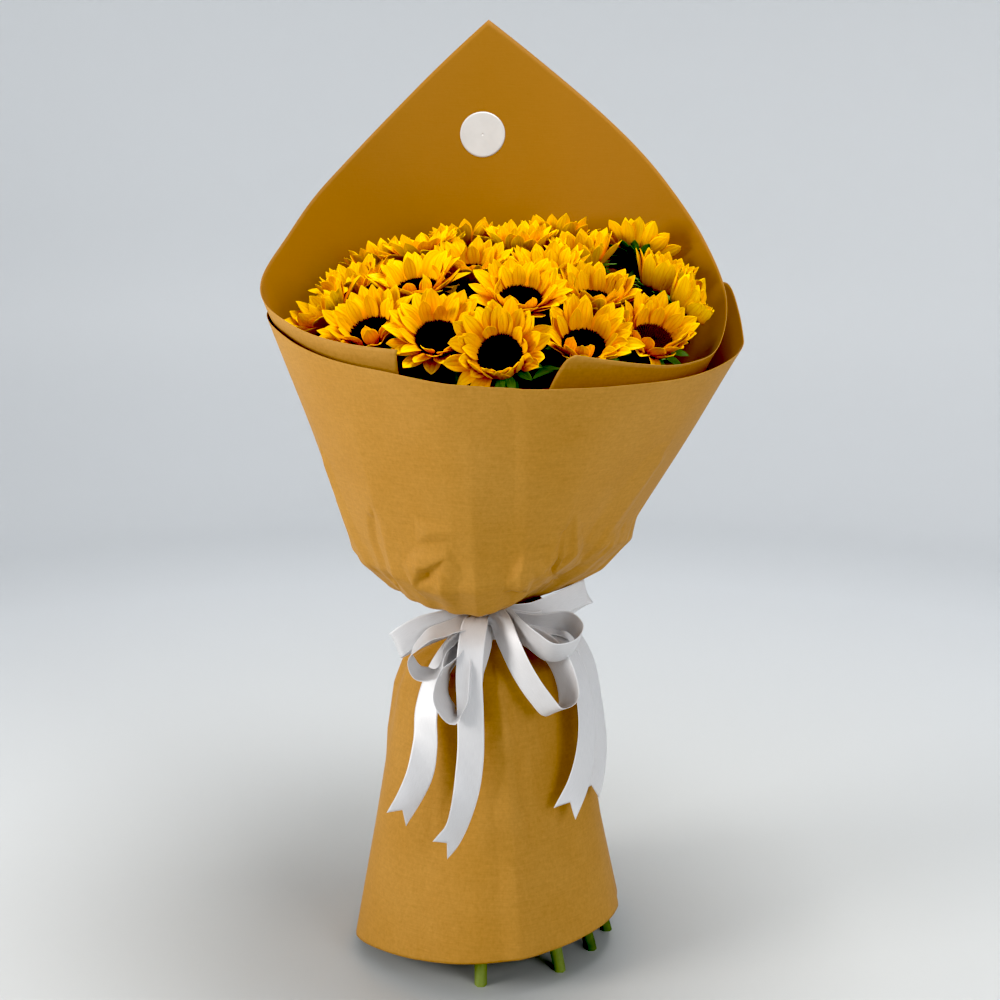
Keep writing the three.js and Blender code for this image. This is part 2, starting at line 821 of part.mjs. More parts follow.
/** Petals in two layers by turns: the even ones stand up, the odd ones spread. */
function petals(bloom, frame, draw) {
  const shape = { ...PETAL, top: -CLEAR };
  const ray = (k) => {
    const isInner = k % 2 === 0;
    const { flat, upright, inner, tip } = PETAL_LIFT;
    const lift = lerp(flat, upright, bloom.cup) + (isInner ? inner : 0) + draw(-5, 5);
    const wanted = {
      length: PETAL.length * draw(0.9, 1.08) * (isInner ? 0.92 : 1),
      width: PETAL.width * draw(0.92, 1.05),
      lifts: [lift, lift + tip + draw(-12, 6)],
    };
    return clearRay(bloom, frame, shape, k, wanted, PETAL_LIFT.highest);
  };
  return rayRing({ ...shape, depth: PETAL.base, ray }).applyMatrix4(frame.matrix);
}

/** The disc: a low dome whose florets stand as alternating points. */
function disc(frame) {
  const { radius, rim, crown, sides } = DISC;
  const rings = [
    { r: radius - 0.6, z: 0, relief: 0 },
    { r: radius, z: rim, relief: 0.5 },
    { r: radius * 0.55, z: crown, relief: 0.7 },
  ];
  const points = [v(0, 0, 0)];
  for (const [i, { r, z, relief }] of rings.entries())
    for (let k = 0; k < sides; k++) {
      const turn = (2 * Math.PI * (k + (i % 2) / 2)) / sides;
      const raised = z + (k % 2 ? relief : -relief);
      points.push(v(r * Math.cos(turn), r * Math.sin(turn), raised));
    }
  points.push(v(0, 0, crown - 1.2));
  const at = (ring, k) => 1 + ring * sides + (k % sides);
  const triangles = [];
  for (let k = 0; k < sides; k++) {
    triangles.push([0, at(0, k + 1), at(0, k)]);
    for (let ring = 0; ring + 1 < rings.length; ring++) {
      const shift = ring % 2;
      triangles.push([at(ring, k), at(ring, k + 1), at(ring + 1, k + shift)]);
      triangles.push([at(ring, k + 1 - shift), at(ring + 1, k + 1), at(ring + 1, k)]);
    }
    triangles.push([at(2, k), at(2, k + 1), points.length - 1]);
  }
  return geometryFrom(points, triangles).applyMatrix4(frame.matrix);
}

/** The calyx under a flower: a shallow cone with its sepals. */
function calyx(bloom, frame, draw) {
  const shape = { ...SEPAL, top: -PETAL.base - 2 * CLEAR };
  const ray = (k) => {
    const lift = lerp(SEPAL_LIFT.flat, SEPAL_LIFT.upright, bloom.cup) + draw(-5, 3);
    const wanted = {
      length: SEPAL.length * draw(0.85, 1.1),
      width: SEPAL.width,
      lifts: [lift, lift + SEPAL_LIFT.tip],
    };
    return clearRay(bloom, frame, shape, k, wanted, SEPAL_LIFT.highest);
  };
  return rayRing({ ...shape, depth: CALYX_DEPTH, ray }).applyMatrix4(frame.matrix);
}

/** The way that a stem takes from its foot through the tie to its flower. */
function stemRoute(bloom, sixth, seat, facing) {
  const { out, side } = TIE_PLACES[seat];
  const middle = sixth * 60 - 150;
  const radius = Math.hypot(out, side);
  const angle = middle + Math.atan2(side, out) / RAD;
  const head = v(...bloom.at);
  const neck = head.clone().addScaledVector(facing, -STEM.nod);
  const tie = round(angle, radius, TIE.high + 6);
  return new THREE.CatmullRomCurve3([
    round(...bloom.foot, 0),
    round(angle, radius, TIE.low - 6),
    tie,
    tie.clone().lerp(neck, 0.5),
    neck,
    head.clone().addScaledVector(facing, -CALYX_DEPTH + 4),
  ]);
}

/** A round stem along its way, cut level at the foot. */
function stem(route) {
  const points = [];
  for (const share of STEM_STATIONS) {
    const centre = route.getPoint(share);
    const along = share > UPRIGHT_TO ? route.getTangent(share) : UP;
    const side = v(0, 1, 0).cross(along).normalize();
    const other = along.clone().cross(side);
    const thinned = Math.max(0, (share - UPRIGHT_TO) / (1 - UPRIGHT_TO));
    const radius = lerp(STEM.radius, STEM.neck, thinned);
    for (let k = 0; k < STEM.sides; k++) {
      const turn = (2 * Math.PI * k) / STEM.sides;
      points.push(
        centre
          .clone()
          .addScaledVector(side, radius * Math.cos(turn))
          .addScaledVector(other, radius * Math.sin(turn)),
      );
    }
  }
  const triangles = [];
  const at = (i, k) => i * STEM.sides + (k % STEM.sides);
  const last = STEM_STATIONS.length - 1;
  for (let i = 0; i < last; i++)
    for (let k = 0; k < STEM.sides; k++) {
      triangles.push([at(i, k), at(i, k + 1), at(i + 1, k + 1)]);
      triangles.push([at(i, k), at(i + 1, k + 1), at(i + 1, k)]);
    }
  for (let k = 1; k + 1 < STEM.sides; k++) {
    triangles.push([at(0, 0), at(0, k + 1), at(0, k)]);
    triangles.push([at(last, 0), at(last, k), at(last, k + 1)]);
  }
  return geometryFrom(points, triangles);
}

/** A leaf from a stem: a blade with a rib, bent down towards its tip. */
function leaf({ bloom: number, share, towards, rise }, route) {
  const bloom = BLOOMS[number - 1];
  const out = round(towards, 1, 0);
  const side = round(towards + 90, 1, 0);
  const root = route.getPoint(share);
  const outline = (length) => {
    const go = (from, lift, far) =>
      from
        .clone()
        .addScaledVector(out, far * length * Math.cos(lift * RAD))
        .addScaledVector(UP, far * length * Math.sin(lift * RAD));
    const first = go(root, rise + LEAF_BENDS[0], 0.35);
    const second = go(first, rise + LEAF_BENDS[1], 0.33);
    return [first, second, go(second, rise + LEAF_BENDS[2], 0.32)];
  };
  let length = LEAF.length;
  const isFree = () =>
    outline(length).every((p, i) =>
      [-0.5, 0.5].every((half) => {
        const width = i === 2 ? 0 : (LEAF.width * length) / LEAF.length;
        return isClear(p.clone().addScaledVector(side, half * width), bloom, HEAD_ROOM.leaf);
      }),
    );
  while (!isFree() && length > 20) length *= 0.9;
  const [first, second, tip] = outline(length);
  const points = [root, tip];
  for (const [centre, share] of [
    [first, 1],
    [second, 0.82],
  ]) {
    const half = (LEAF.width * length * share) / LEAF.length / 2;
    points.push(
      centre.clone().addScaledVector(side, -half),
      centre.clone().addScaledVector(UP, LEAF.rib / 2),
      centre.clone().addScaledVector(side, half),
      centre.clone().addScaledVector(UP, -LEAF.rib / 2),
    );
  }
  const triangles = [];
  for (let k = 0; k < 4; k++) {
    const a = 2 + k;
    const b = 2 + ((k + 1) % 4);
    triangles.push([0, a, b], [a, a + 4, b + 4], [a, b + 4, b], [a + 4, 1, b + 4]);
  }
  return geometryFrom(points, triangles);
}

// ---------------------------------------------------------------- the bunch

place("wrap_back", backSheet(), COLOUR.paper, 0.85);
place("wrap_cup", cupSheet(), COLOUR.paper, 0.85);
place("wrap_skirt", skirtSheet(), COLOUR.paper, 0.85);
place("label", labelDisc(), COLOUR.label, 0.5);
place("ribbon_band", ribbonBand(), COLOUR.ribbon, 0.35);
place("ribbon_bow", ribbonBow(), COLOUR.ribbon, 0.35);

const draw = drawsFrom(24);
for (let sixth = 0; sixth < SIXTHS; sixth++) {
  const green = [];
  for (let seat = 0; seat < TIE_PLACES.length; seat++) {
    const number = sixth * TIE_PLACES.length + seat;
    const bloom = BLOOMS[number];
    const frame = flowerFrame(bloom, draw(0, 2 * Math.PI));
    const tag = String(number + 1).padStart(2, "0");
    place("petals_" + tag, petals(bloom, frame, draw), COLOUR.petals, 0.6);
    place("disc_" + tag, disc(frame), COLOUR.disc, 0.9);
    const route = stemRoute(bloom, sixth, seat, frame.facing);
    green.push(calyx(bloom, frame, draw), stem(route));
    for (const row of LEAVES) if (row.bloom === number + 1) green.push(leaf(row, route));
  }
  place("stems_" + (sixth + 1), fused(green), COLOUR.green, 0.7);
}

// The whole bunch is moved so that the middle of its box stands over the origin.
const box = new THREE.Box3().setFromObject(bunch);
const boxMiddle = box.getCenter(v(0, 0, 0));
bunch.position.set(-boxMiddle.x, -boxMiddle.y, -box.min.z);

export default bunch;
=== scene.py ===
# %% [markdown]
# # A wrapped bunch of sunflowers
#
# The bunch already stands in the frame as plain solids at their real size: 24 flowers on
# their stems, three sheets of kraft paper, a satin ribbon with its bow, and a round label.
# This lesson makes the surfaces that are seen, and puts each of them where its solid is.
# Lengths are in millimetres, as a florist measures, and become Blender's metres at the end.

# %% Load the frame
import math

import bpy
import numpy as np
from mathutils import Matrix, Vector, noise


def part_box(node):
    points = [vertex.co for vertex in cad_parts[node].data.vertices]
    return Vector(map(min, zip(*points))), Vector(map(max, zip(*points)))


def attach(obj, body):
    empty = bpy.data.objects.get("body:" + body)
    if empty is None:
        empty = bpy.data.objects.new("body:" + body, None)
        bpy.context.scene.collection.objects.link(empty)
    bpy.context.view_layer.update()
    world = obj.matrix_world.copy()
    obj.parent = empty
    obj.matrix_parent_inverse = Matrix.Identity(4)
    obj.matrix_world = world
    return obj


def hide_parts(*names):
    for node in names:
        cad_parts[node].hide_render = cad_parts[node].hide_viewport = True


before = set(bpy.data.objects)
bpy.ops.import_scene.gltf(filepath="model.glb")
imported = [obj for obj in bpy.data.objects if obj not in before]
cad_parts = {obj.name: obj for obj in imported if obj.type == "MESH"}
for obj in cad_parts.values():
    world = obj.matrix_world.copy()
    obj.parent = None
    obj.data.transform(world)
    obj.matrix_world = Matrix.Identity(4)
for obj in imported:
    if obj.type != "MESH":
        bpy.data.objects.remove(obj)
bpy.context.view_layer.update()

# %% [markdown]
# Everything in the bunch goes through its tie, so places are given round the tie's upright
# axis: an angle (0 at the front, 90 at the right, 180 at the back), a radius and a height.

# %% Places round the tie
MM = 0.001
band_low, band_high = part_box("ribbon_band")
TIE = np.array([(band_low.x + band_high.x) / 2, (band_low.y + band_high.y) / 2, 0.0])


def joined(x, y, z):
    """Points from their coordinates, which may be rows, columns or single numbers."""
    return np.stack(np.broadcast_arrays(x, y, z), axis=-1).astype(float)


def about(angle, radius, height):
    """Points in millimetres from angles, radii and heights round the tie's axis."""
    turn = np.radians(angle)
    return joined(radius * np.sin(turn), -radius * np.cos(turn), height)


def unit(vectors):
    """The same directions, one long."""
    return vectors / np.linalg.norm(vectors, axis=-1, keepdims=True)


print("tie axis at", TIE.round(4))

# %% [markdown]
# ## Camera and studio
#
# The photograph was taken from the height of the flowers, looking a little down. The
# camera's place follows from how the rim of the paper and the hem foreshorten. The studio
# is a wide pale bowl, a floor that curves up into a wall all the way round, so that the
# bunch can be looked at from every side. Large area lamps stand in for soft boxes.

# %% Camera
CAMERA_AT = [12.5, -1400, 724]
CAMERA_TILT = 8.1  # degrees below level
IMAGE_WIDTH = 1000  # pixels
FOCAL_PIXELS = 1455
SENSOR = 36.0
VIEW_SHIFT = -0.08  # of the picture's width

camera = bpy.data.objects.new("camera", bpy.data.cameras.new("camera"))
bpy.context.scene.collection.objects.link(camera)
camera.location = Vector(np.array(CAMERA_AT) * MM + TIE)
camera.rotation_euler = (math.radians(90 - CAMERA_TILT), 0, 0)
camera.data.sensor_width = SENSOR
camera.data.lens = SENSOR * FOCAL_PIXELS / IMAGE_WIDTH
camera.data.shift_y = VIEW_SHIFT
camera.data.clip_start = 0.01
bpy.context.scene.camera = camera
print("camera at", [round(x, 3) for x in camera.location])


# %% Lamps
LAMPS_LOOK_AT = Vector((0, 0, 0.75))


def lamp(name, at, size, power, colour, spread):
    """A square soft box that looks at the flowers; its spread is an angle in degrees."""
    light = bpy.data.lights.new(name, "AREA")
    light.size = size
    light.energy = power
    light.color = colour
    light.spread = math.radians(spread)
    holder = bpy.data.objects.new(name, light)
    holder.location = at
    holder.rotation_euler = (LAMPS_LOOK_AT - Vector(at)).to_track_quat("-Z", "Y").to_euler()
    holder.visible_camera = False
    bpy.context.scene.collection.objects.link(holder)


BLACK_POINT = 0.042  # everything darker turns black, as in the photograph
AIR_COLOUR, AIR_STRENGTH = (0.8, 0.85, 0.92, 1), 0.52
lamp("soft_box_left", (-1.9, -0.85, 1.0), 0.8, 15, (1.0, 0.98, 0.96), 120)
lamp("soft_box_right", (1.4, -1.7, 1.1), 1.0, 7.6, (0.95, 0.97, 1.0), 120)
lamp("soft_box_above", (0.25, 0.0, 2.3), 0.9, 36, (1.0, 1.0, 1.0), 180)
world = bpy.data.worlds.new("studio_air")
bpy.context.scene.world = world
world.use_nodes = True
world.node_tree.nodes["Background"].inputs["Color"].default_value = AIR_COLOUR
world.node_tree.nodes["Background"].inputs["Strength"].default_value = AIR_STRENGTH
view = bpy.context.scene.view_settings
view.view_transform = "Standard"
view.use_curve_mapping = True
view.curve_mapping.black_level = (BLACK_POINT,) * 3
view.curve_mapping.update()

# %% [markdown]
# ## A way to write materials
#
# A material is a small computation on each point of a surface. `Value` wraps one socket, so
# that sums and products of numbers read as sums and products; `Paint` makes the nodes.
# Colours and vectors go through Mix and Vector Math nodes, never through Math.


# %% Values and paints
class Value:
    """A number in a material; arithmetic on it adds Math nodes."""

    def __init__(self, paint, socket):
        self.paint = paint
        self.socket = socket

    def math(self, operation, *terms, clamp=False):
        settings = {"operation": operation, "use_clamp": clamp}
        return self.paint.node("ShaderNodeMath", settings, dict(enumerate(terms)))

    def __add__(self, other):
        return self.math("ADD", self, other)

    def __sub__(self, other):
        return self.math("SUBTRACT", self, other)

    def __rsub__(self, other):
        return self.math("SUBTRACT", other, self)

    def __mul__(self, other):
        return self.math("MULTIPLY", self, other)

    __radd__ = __add__
    __rmul__ = __mul__

    def between(self, low, high):
        """0 below low, 1 above high, and a straight ramp between them."""
        return self.math("MULTIPLY", self - low, 1 / (high - low), clamp=True)


class Paint:
    """A material whose Principled shader takes what its maker works out."""

    def __init__(self, name, **constants):
        self.material = bpy.data.materials.new(name)
        self.material.use_nodes = True
        self.tree = self.material.node_tree
        self.shader = self.tree.nodes["Principled BSDF"]
        for socket, value in constants.items():
            self.shader.inputs[socket.replace("_", " ")].default_value = value

    def node(self, kind, settings=None, inputs=None, output=0):
        """Adds one node: settings first, then the values or links of its sockets."""
        made = self.tree.nodes.new(kind)
        for key, value in (settings or {}).items():
            if key == "stops":
                self.set_stops(made.color_ramp, value)
            else:
                setattr(made, key, value)
        for key, value in (inputs or {}).items():
            if isinstance(value, Value):
                self.tree.links.new(value.socket, made.inputs[key])
            else:
                made.inputs[key].default_value = value
        return Value(self, made.outputs[output])

    @staticmethod
    def set_stops(ramp, stops):
        for _ in stops[2:]:
            ramp.elements.new(0.5)
        for element, (position, colour) in zip(ramp.elements, stops):
            element.position = position
            element.color = (*colour, 1)

    def ramp(self, value, *stops):
        """A colour read from stops of (position, colour)."""
        return self.node("ShaderNodeValToRGB", {"stops": stops}, {0: value})

    def mix(self, factor, first, second, blend="MIX"):
        """Two colours mixed; colours are given as (r, g, b) or as values."""
        settings = {"data_type": "RGBA", "blend_type": blend}
        pair = [c if isinstance(c, Value) else (*c, 1) for c in (first, second)]
        return self.node("ShaderNodeMix", settings, {0: factor, 6: pair[0], 7: pair[1]}, 2)

    def attribute(self, name):
        """A number that the mesh carries at its points."""
        return self.node("ShaderNodeAttribute", {"attribute_name": name}, {}, 2)

    def place(self, *scale):
        """The point's own place in the object, in metres, scaled along each axis."""
        start = self.node("ShaderNodeTexCoord", output=3)
        settings = {"operation": "MULTIPLY"}
        return self.node("ShaderNodeVectorMath", settings, {0: start, 1: scale})

    def inside(self):
        """1 where a face looks towards the bunch's upright axis, and 0 where it looks away."""
        outward = {0: self.node("ShaderNodeTexCoord", output=1), 1: self.place(1, 1, 0)}
        facing = self.node("ShaderNodeVectorMath", {"operation": "DOT_PRODUCT"}, outward, 1)
        return facing.between(0.002, -0.002)

    def vector(self, x, y, z):
        return self.node("ShaderNodeCombineXYZ", {}, {0: x, 1: y, 2: z})

    def noise(self, at, scale=1.0, detail=3.0, roughness=0.55):
        inputs = {"Vector": at, "Scale": scale, "Detail": detail, "Roughness": roughness}
        return self.node("ShaderNodeTexNoise", {}, inputs)

    def bump(self, height, distance, strength=1.0):
        inputs = {"Height": height, "Distance": distance, "Strength": strength}
        return self.node("ShaderNodeBump", {}, inputs)

    def finish(self, **sockets):
        """Links what varies to the shader and returns the material."""
        for socket, value in sockets.items():
            target = self.shader.inputs[socket.replace("_", " ")]
            self.tree.links.new(value.socket, target)
        return self.material


print("paint box ready")

# %% [markdown]
# ## A way to make meshes
#
# Petals, leaves, ribbon and paper are all sheets: a grid of points with a thickness. `Shape`
# collects many grids and writes them as one mesh. Each point also carries three numbers for
# the materials: how far it is along its petal or strip, how far across, and a tone that
# differs from one petal to the next.


# %% Shapes from grids
THICKNESS = {"paper": 0.45, "label": 0.12, "ribbon": 0.3, "petal": 0.35, "leaf": 0.3}  # mm


def grid_faces(rows, columns, closed=False):
    """The four-sided faces of a grid of points; a closed one joins its last column to its first."""
    i, j = np.meshgrid(np.arange(rows - 1), np.arange(columns - (not closed)), indexing="ij")
    after = (j + 1) % columns
    corners = (i * columns + j, i * columns + after)
    return np.stack([*corners, (i + 1) * columns + after, (i + 1) * columns + j], -1).reshape(-1, 4)


def linked(name, mesh, material):
    """The mesh as a smooth object of the scene, in one material."""
    mesh.polygons.foreach_set("use_smooth", [True] * len(mesh.polygons))
    mesh.materials.append(material)
    made = bpy.data.objects.new(name, mesh)
    bpy.context.scene.collection.objects.link(made)
    return made


class Shape:
    """Points, faces and what each point tells the materials."""

    def __init__(self):
        self.points = []
        self.faces = []
        self.facts = []
        self.count = 0

    def add(self, points, faces, along=0.0, across=0.0, tone=0.5):
        points = np.asarray(points, float).reshape(-1, 3)
        facts = [np.asarray(fact, float).reshape(-1) for fact in (along, across, tone)]
        facts = [np.broadcast_to(fact, len(points)) for fact in facts]
        self.points.append(points)
        self.facts.append(np.stack(facts, -1))
        self.faces.extend((np.asarray(faces) + self.count).tolist())
        self.count += len(points)

    def add_grid(self, grid, tone=0.5, closed=False):
        rows, columns = grid.shape[:2]
        along = np.repeat(np.linspace(0, 1, rows), columns)
        across = np.tile(np.linspace(-1, 1, columns), rows)
        self.add(grid, grid_faces(rows, columns, closed), along, across, tone)

    def finish(self, name, material, slot, thickness, nodes):
        """Makes the object, rides it on the bunch and hides the solids it stands for."""
        mesh = bpy.data.meshes.new(name)
        mesh.from_pydata(np.vstack(self.points) * MM + TIE, [], self.faces)
        facts = np.vstack(self.facts).astype(np.float32)
        for column, fact in enumerate(("along", "across", "tone")):
            layer = mesh.attributes.new(fact, "FLOAT", "POINT")
            layer.data.foreach_set("value", facts[:, column])
        piece = linked(name, mesh, material)
        if thickness:
            solid = piece.modifiers.new("thickness", "SOLIDIFY")
            solid.thickness = thickness * MM
            solid.offset = 0
        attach(piece, "root")
        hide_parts(*nodes)
        return piece


# %% Smooth curves
def evenly(points, count):
    """`count` points evenly spaced along a line of points."""
    points = np.asarray(points, float)
    run = np.concatenate([[0], np.cumsum(np.linalg.norm(np.diff(points, axis=0), axis=1))])
    stations = np.linspace(0, run[-1], count)
    return np.stack([np.interp(stations, run, axis) for axis in points.T], -1)


def through(points, count):
    """A smooth (centripetal Catmull-Rom) curve through points, evenly sampled."""
    p = np.asarray(points, float)
    p = np.vstack([2 * p[0] - p[1], p, 2 * p[-1] - p[-2]])
    knot = np.concatenate([[0], np.cumsum(np.linalg.norm(np.diff(p, axis=0), axis=1) ** 0.5)])
    steps = 20

    def blend(a, b, low, high, t):
        return ((high - t) * a + (t - low) * b) / (high - low)

    pieces = []
    for i in range(1, len(p) - 2):
        t = np.linspace(knot[i], knot[i + 1], steps, endpoint=False)[:, None]
        first = [blend(p[k], p[k + 1], knot[k], knot[k + 1], t) for k in (i - 1, i, i + 1)]
        second = [blend(first[k], first[k + 1], knot[i - 1 + k], knot[i + 1 + k], t) for k in (0, 1)]
        pieces.append(blend(*second, knot[i], knot[i + 1], t))
    return evenly(np.vstack([*pieces, p[-2:-1]]), count)


def edge_through(rows):
    """A sheet's edge: radius and height at any angle, smooth through [angle, radius, height]."""
    angle, values = np.array(rows, float)[:, 0], np.array(rows, float)[:, 1:]
    slope = np.gradient(values, angle, axis=0)

    def at(wanted):
        k = int(np.clip(np.searchsorted(angle, wanted) - 1, 0, len(angle) - 2))
        width = angle[k + 1] - angle[k]
        t = (wanted - angle[k]) / width
        ease = t * t * (3 - 2 * t)
        ends = values[k] * (1 - ease) + values[k + 1] * ease
        bends = slope[k] * t * (1 - t) ** 2 - slope[k + 1] * t * t * (1 - t)
        return ends + bends * width

    return at


print("curve through three points:", through([[0, 0], [1, 1], [2, 0]], 5).round(2).tolist())

# %% [markdown]
# ## Kraft paper
#
# Kraft wrapping paper is brown, faintly ribbed from the machine, with longer fibres and
# small flecks, and a soft sheen where it is smooth. The colour is built from four scales of
# noise: broad clouds, ribs that run across the sheet, fibres and flecks. The same noises
# feed the bump, so the ribs catch the light where they are painted.


# %% Kraft paper
def kraft_paper():
    paint = Paint("kraft_paper", Specular_IOR_Level=0.12, Sheen_Weight=0.05, Sheen_Roughness=0.4)
    clouds = paint.noise(paint.place(9, 9, 9), detail=4.0)
    ribs = paint.noise(paint.place(60, 60, 700), detail=3.0)
    fibres = paint.noise(paint.place(330, 330, 240), detail=3.0, roughness=0.7)
    flecks = paint.noise(paint.place(500, 500, 220), detail=2.0).between(0.62, 0.78)
    brown = paint.ramp(clouds, (0.3, (0.450, 0.230, 0.056)), (0.7, (0.490, 0.260, 0.070)))
    shade = 0.70 + ribs * 0.22 + fibres * 0.38
    ribbed = paint.mix(1.0, brown, paint.vector(shade, shade, shade), "MULTIPLY")
    flecked = paint.mix(flecks * 0.35, ribbed, (0.36, 0.17, 0.04))
    # Faces that look into the bunch are painted a much deeper brown: partly the rough side's own colour,
    # partly painted shade inside the wrap.
    colour = paint.mix(paint.inside() * 0.9, flecked, (0.265, 0.122, 0.022))
    height = ribs * 0.6 + fibres * 0.3 + clouds * 0.4 + flecks * 0.2
    return paint.finish(
        Base_Color=colour,
        Roughness=0.56 + clouds * 0.16,
        Normal=paint.bump(height, 0.0004, 0.35),
    )


KRAFT = kraft_paper()
print("made", KRAFT.name)

# %% [markdown]
# ## The paper's edges
#
# Three sheets wrap the bunch. The back sheet opens upwards like a hood, its corner standing
# up as the point; the cup sheet goes round the front; the skirt is a cone round the stems.
# An edge is a few rows of angle, radius and height, read off the photograph and
# guessed at the back, and a profile says how a sheet runs from the tie to its edge. These
# are the same few dimensions as the solids'.

# %% Edges and profiles
BACK_EDGE_RIGHT = [
    [21.5, 204, 607], [40, 209, 596], [59, 213, 593], [75, 222, 603], [90, 231, 641],
    [108, 229, 697], [121, 231, 737], [151, 247, 835], [180, 260, 936],
]
BACK_EDGE_LEFT = [
    [180, 260, 936], [225, 239, 759], [246, 222, 702], [270, 217, 656], [304, 199, 623],
    [325, 200, 613], [339, 203, 611],
]
CUP_EDGE = [
    [-132, 214, 636], [-105, 212, 638], [-84, 209, 628], [-56, 200, 608], [-35, 203, 596],
    [-20, 207, 591], [-5, 210, 585], [9, 215, 581.5], [25, 224, 581.5], [52, 229, 584],
    [85.3, 246, 602.5],
]
CUP_FLAP = [[85.3, 246, 602.5], [95, 247, 630], [104, 248, 654], [114, 246, 648]]
SKIRT_TOP = [
    [-190, 52, 346], [-120, 54, 346.4], [-78, 68, 349], [-40, 50, 345.6], [0, 42.5, 345],
    [38, 52, 346], [58, 60, 347.6], [90, 54, 346.4], [190, 52, 346],
]
SKIRT_HEM = [
    [-190, 133, 30], [-135, 134, 17], [-90, 136, 7], [-45, 134, 24], [0, 133, 34],
    [45, 133, 40], [90, 134, 37], [135, 133, 36], [190, 133, 30],
]
BACK_NECK = [[72, 228], [53, 288], [35.4, 314], [35.4, 347], [58, 361], [98, 378], [124, 405], [131, 430]]
CUP_NECK = [[36.9, 319], [36.9, 345], [50, 349.5], [67, 353], [106, 367], [134, 396], [142, 424]]
SKIRT_BODY = [[39.2, 343.2], [39.2, 315], [54, 307], [80, 292], [92, 262], [103, 200], [116, 120]]
BELLY = {"height": 640, "bulge": 24}  # the back sheet is fullest here, by this much
BACK_ENDS = (BACK_EDGE_RIGHT[0][0], BACK_EDGE_LEFT[-1][0])  # degrees, where its flaps end

# Below its belly the paper was pressed by hands: folded flat between a few corners, pushed up
# on the right and in on the left. The rows of lift and of outward push, as angle and
# millimetres, weren't chosen one by one: they are a fit to the cup's outline as photographed.
NECK_CORNERS = [-180, -156, -132, -98, -68, -40, -4, 28, 60, 88, 114, 147, 180]
NECK_LIFT = [[-132, 0], [-98, -4], [-84, -6], [-68, -1], [-40, -1], [-22, -3], [-4, -6], [14, 1],
             [28, 21], [45, 28], [60, 18], [74, 16], [88, 11], [100, 3], [114, 0]]
NECK_OUT = [[-132, 0], [-98, 1], [-84, -7], [-68, -6], [-55, -5], [-40, 0], [60, 0], [74, 9],
            [100, 9], [114, 0]]
BACK_PRESSED, CUP_PRESSED = (0, 0, 0, 0, 0.3, 1, 1, 0.6), (0, 0, 0.2, 0.4, 1, 1, 0.6)

back_right, back_left = edge_through(BACK_EDGE_RIGHT), edge_through(BACK_EDGE_LEFT)
cup_edge, cup_flap = edge_through(CUP_EDGE), edge_through(CUP_FLAP)
skirt_top, skirt_hem = edge_through(SKIRT_TOP), edge_through(SKIRT_HEM)


def pressed(neck, shares, angle):
    """A neck's rows of (radius, height), as the paper was pressed at one angle."""
    turn = (angle + 180) % 360 - 180
    k = int(np.clip(np.searchsorted(NECK_CORNERS, turn) - 1, 0, len(NECK_CORNERS) - 2))
    half = math.radians(NECK_CORNERS[k + 1] - NECK_CORNERS[k]) / 2
    flat = 1 - math.cos(half) / math.cos(math.radians(turn - NECK_CORNERS[k]) - half)
    lift, out = [np.interp(turn, *np.array(rows).T) for rows in (NECK_LIFT, NECK_OUT)]
    rows, shares = np.array(neck, float), np.array(shares)
    rows[:, 0] += (out - rows[:, 0] * flat) * shares
    rows[:, 1] += lift * shares
    return rows


def back_flare(angle):
    """The back sheet above its bend, at one angle: bend, belly and edge as (radius, height)."""
    edge = back_right(angle) if angle < 180 else back_left(angle)
    bend = pressed(BACK_NECK, BACK_PRESSED, angle)[-1]
    height = min(BELLY["height"], bend[1] + 0.7 * (edge[1] - bend[1]))
    share = (height - bend[1]) / (edge[1] - bend[1])
    bulge = BELLY["bulge"] * np.clip((edge[1] - 656) / 280, 0, 1)
    return bend, np.array([bend[0] + share * (edge[0] - bend[0]) + bulge, height]), edge


def back_radius(angle, height):
    """The back sheet's radius at an angle and a height above its bend."""
    radii, heights = np.array(back_flare(np.clip(angle % 360, *BACK_ENDS))).T
    return np.interp(height, heights, radii)


print("the point stands at", back_right(180).round(1).tolist())

# %% [markdown]
# ## Folding a sheet
#
# A sheet starts as a smooth grid. Paper doesn't stretch, so where it is gathered it makes
# pleats, where it was handled it keeps sharp creases, and between them it stays nearly
# flat. Each of these is a push along the sheet's own normal: pleats run out from the tie
# and fade, a crease is a straight V along a drawn line, and crumpling follows the edges of
# random cells, which is how crushed paper breaks up. Close to the tie the pushes are held
# back.


# %% Pushes
def normals_of(grid):
    """Each grid point's outward normal."""
    down, side = np.gradient(grid, axis=0), np.gradient(grid, axis=1)
    return unit(np.cross(side, down))


def slow_noise(points, size, seed):
    """Smooth noise about 0 at points, with features of that size in mm."""
    places = points.reshape(-1, 3) / size
    values = [noise.noise(Vector(place) + Vector((seed, 0, 0))) for place in places]
    return np.array(values).reshape(points.shape[:-1])


def crumpled(points, size, seed):
    """Ridges of crushed paper: high along the borders of random cells and low inside them."""
    flat = points.reshape(-1, 3)
    out = np.empty(len(flat))
    for k, p in enumerate(flat):
        nearest = noise.voronoi(Vector(p / size) + Vector((seed, seed, 0)))[0]
        out[k] = 1 - min(1.0, 1.6 * (nearest[1] - nearest[0]))
    return out.reshape(points.shape[:-1])


def near(points, middle, reach):
    """1 at a middle, fading to 0 over a reach."""
    away = np.linalg.norm(points - np.asarray(middle, float), axis=-1) / reach
    return np.exp(-2 * away**2)


def crease(points, ends, width, steep=1.0):
    """1 along a drawn line of points, falling in straight sides to 0; one side may be steeper."""
    height = np.zeros(points.shape[:-1])
    for start, stop in zip(ends[:-1], ends[1:]):
        along = np.clip(((points - start) @ (stop - start)) / np.sum((stop - start) ** 2), 0, 1)
        offset = points - (start + along[..., None] * (stop - start))
        side = offset @ np.cross(start * (1, 1, 0), stop - start) > 0
        reach = np.where(side, width, width * steep)
        height = np.maximum(height, 1 - np.linalg.norm(offset, axis=-1) / reach)
    return np.clip(height, 0, 1)


